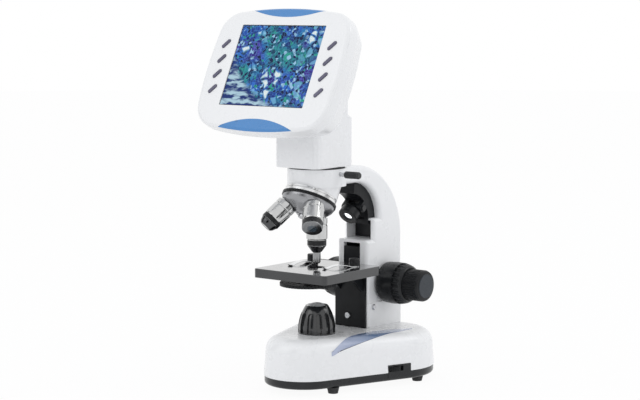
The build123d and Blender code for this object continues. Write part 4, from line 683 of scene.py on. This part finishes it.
def rounded_slab(name, width, height, corner, thick, steps=6):
    """The mesh of a thin slab with rounded corners and softened front edges, its back at z = 0."""
    outline = []
    for quarter, (sx, sy) in enumerate(((1, 1), (-1, 1), (-1, -1), (1, -1))):
        for step in range(steps + 1):
            swing = pi / 2 * (quarter + step / steps)
            x = sx * (width / 2 - corner) + corner * cos(swing)
            y = sy * (height / 2 - corner) + corner * sin(swing)
            outline.append((x, y))
    work = bmesh.new()
    rings = []
    soft = thick * 0.4
    for z, shrink in ((0, 0), (thick - soft, 0), (thick, soft)):
        shrink_x, shrink_y = 1 - 2 * shrink / width, 1 - 2 * shrink / height
        rings.append([work.verts.new((x * shrink_x, y * shrink_y, z)) for x, y in outline])
    count = len(outline)
    for low, high in zip(rings, rings[1:]):
        for i in range(count):
            j = (i + 1) % count
            work.faces.new((low[i], low[j], high[j], high[i]))
    work.faces.new(rings[-1])
    work.faces.new(list(reversed(rings[0])))
    return finish_mesh(name, work)


screen_mesh = rounded_slab("screen_image", width=0.1014, height=0.0832, corner=0.0008, thick=0.00012)
screen_image = add_object("screen_image", screen_mesh)
screen_image.matrix_world = flat_frame(0.0008)
screen_image.data.materials.append(screen_picture("screen_picture"))
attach(screen_image, "head")


# ---------------------------------------------------------------- edges
def soften(piece, width, weld_gap=1e-6, sharp_from=35):
    """Rounds a CAD node's sharp edges with modifiers, which leave its own mesh as it is."""
    weld = piece.modifiers.new("weld", "WELD")
    weld.merge_threshold = weld_gap
    if width:
        bevel = piece.modifiers.new("bevel", "BEVEL")
        bevel.width = width * MM
        bevel.segments = 2
        bevel.limit_method = "ANGLE"
        bevel.angle_limit = radians(sharp_from)
        bevel.harden_normals = False
    smooth = piece.modifiers.new("normals", "WEIGHTED_NORMAL")
    smooth.keep_sharp = True


# ---------------------------------------------------------------- floor, light and camera
PLAIN_WHITE = {"Color": (1, 1, 1, 1), "Strength": 1.0}


def looked_at(tree):
    """1 for what is seen by the camera, in reflections or through glass, and 0 for other rays."""
    rays = put(tree, "LightPath")
    seen = maths(tree, "MAXIMUM", rays.outputs["Is Camera Ray"], rays.outputs["Is Glossy Ray"])
    return maths(tree, "MAXIMUM", seen, rays.outputs["Is Transmission Ray"])


def pale_floor(name, colour, white_share):
    """The floor: part shaded, so that it keeps the shadow, and part plain white where it is seen."""
    made, tree, shader = material(name)
    cloud = noise(tree, place(tree), 3.0)
    shown = mix(tree, cloud, colour, tuple(c * 0.99 for c in colour))
    feed(tree, shader, Base_Color=shown, Roughness=0.9)
    glow = put(tree, "Emission", PLAIN_WHITE).outputs[0]
    share = maths(tree, "MULTIPLY", looked_at(tree), white_share)
    mixed = put(tree, "MixShader", {0: share, 1: shader.outputs[0], 2: glow}).outputs[0]
    out = next(n for n in tree.nodes if n.type == "OUTPUT_MATERIAL")
    tree.links.new(mixed, out.inputs["Surface"])
    return made


def floor_disc(turns=96, drop=0.0002):
    """A round pale floor just under the feet, so wide that its edge meets the white backdrop."""
    work = bmesh.new()
    rings = []
    for reach in (0.4, 1.2, 6.0):
        ring = []
        for k in range(turns):
            swing = 2 * pi * k / turns
            ring.append(work.verts.new((reach * cos(swing), reach * sin(swing), 0.0)))
        rings.append(ring)
    work.faces.new(rings[0])
    for inner, outer in zip(rings, rings[1:]):
        for k in range(turns):
            j = (k + 1) % turns
            work.faces.new((inner[k], outer[k], outer[j], inner[j]))
    floor = add_object("floor", finish_mesh("floor", work))
    floor.data.materials.append(pale_floor("floor_white", (0.86, 0.86, 0.865), 0.94))
    floor.location.z = -drop


def area_light(name, stands_at, side, power, aim=(0, 0, 0.2)):
    """A square lamp that faces a point on the part."""
    data = bpy.data.lights.new(name, "AREA")
    data.shape = "RECTANGLE"
    data.size = data.size_y = side
    data.energy = power
    lamp = add_object(name, data)
    lamp.location = stands_at
    lamp.rotation_mode = "QUATERNION"
    lamp.rotation_quaternion = (Vector(aim) - Vector(stands_at)).to_track_quat("-Z", "Y")


world = bpy.data.worlds.new("studio")
bpy.context.scene.world = world
world.use_nodes = True
air = world.node_tree
air.nodes.clear()
fill = put(air, "Background", {"Color": (0.975, 0.985, 1.0, 1), "Strength": 0.975}).outputs[0]
white = put(air, "Background", PLAIN_WHITE).outputs[0]
both = put(air, "MixShader", {0: looked_at(air), 1: fill, 2: white}).outputs[0]
put(air, "OutputWorld", {"Surface": both})

area_light("key", (-0.7, -1.5, 1.25), side=1.1, power=3)
area_light("rim", (1.1, 0.9, 1.3), side=0.8, power=3)


def dark_card(name, azimuth, width, reach=1.95, height=1.6, middle=0.65):
    """A dark board that only reflections see: it gives bare metal its contrast.

    It stands upright round the part, at an azimuth in degrees from the front; middle is the height
    of its centre.
    """
    turn = Vector((sin(radians(azimuth)), -cos(radians(azimuth)), 0))
    across = Vector((cos(radians(azimuth)), sin(radians(azimuth)), 0))
    mesh = bpy.data.meshes.new(name)
    corners = []
    for sx, sz in ((-1, -1), (1, -1), (1, 1), (-1, 1)):
        up = Vector((0, 0, middle + sz * height / 2))
        corners.append(turn * reach + across * (sx * width / 2) + up)
    mesh.from_pydata(corners, [], [(0, 1, 2, 3)])
    card = add_object(name, mesh)
    made, tree, shader = material(name)
    feed(tree, shader, Base_Color=(0.03, 0.03, 0.032), Roughness=0.9)
    card.data.materials.append(made)
    for kind in ("camera", "diffuse", "transmission", "volume_scatter", "shadow"):
        setattr(card, "visible_" + kind, False)


dark_card("card_left", azimuth=4, width=0.7)
dark_card("card_right", azimuth=66, width=0.5)
dark_card("card_side", azimuth=118, width=0.6)
dark_card("card_far", azimuth=292, width=0.6)

# the photograph's camera: angles, metres from the optical axis, and the focal length in pixels
CAMERA_AZIMUTH = radians(38.23)
CAMERA_PAN = radians(-0.1)
CAMERA_PITCH = radians(6.25)
CAMERA_REACH = 1.80486
CAMERA_HEIGHT = 0.38334
CAMERA_FOCUS = 1838.45
PHOTO_WIDTH = 640
SENSOR_WIDTH = 36
heading = CAMERA_AZIMUTH + CAMERA_PAN
level_aim = Vector((-sin(heading), cos(heading), 0))
camera_right = Vector((cos(heading), sin(heading), 0))
camera_aim = level_aim * cos(CAMERA_PITCH) - Vector((0, 0, sin(CAMERA_PITCH)))
camera_up = camera_right.cross(camera_aim)
camera_data = bpy.data.cameras.new("camera")
camera_data.sensor_width = SENSOR_WIDTH
camera_data.lens = SENSOR_WIDTH * CAMERA_FOCUS / PHOTO_WIDTH
camera_data.clip_start = 0.05
camera_data.clip_end = 20
camera = add_object("camera", camera_data)
camera_turn = Matrix((camera_right, camera_up, -camera_aim)).transposed().to_4x4()
camera_x = sin(CAMERA_AZIMUTH) * CAMERA_REACH
camera_y = OPTIC_Y - cos(CAMERA_AZIMUTH) * CAMERA_REACH
camera_at = Vector((camera_x, camera_y, CAMERA_HEIGHT))
camera.matrix_world = Matrix.Translation(camera_at) @ camera_turn
bpy.context.scene.camera = camera
floor_disc()

for name, (_, edge) in DRESS.items():
    soften(nodes[name], edge)

bpy.context.scene.view_settings.view_transform = "Standard"
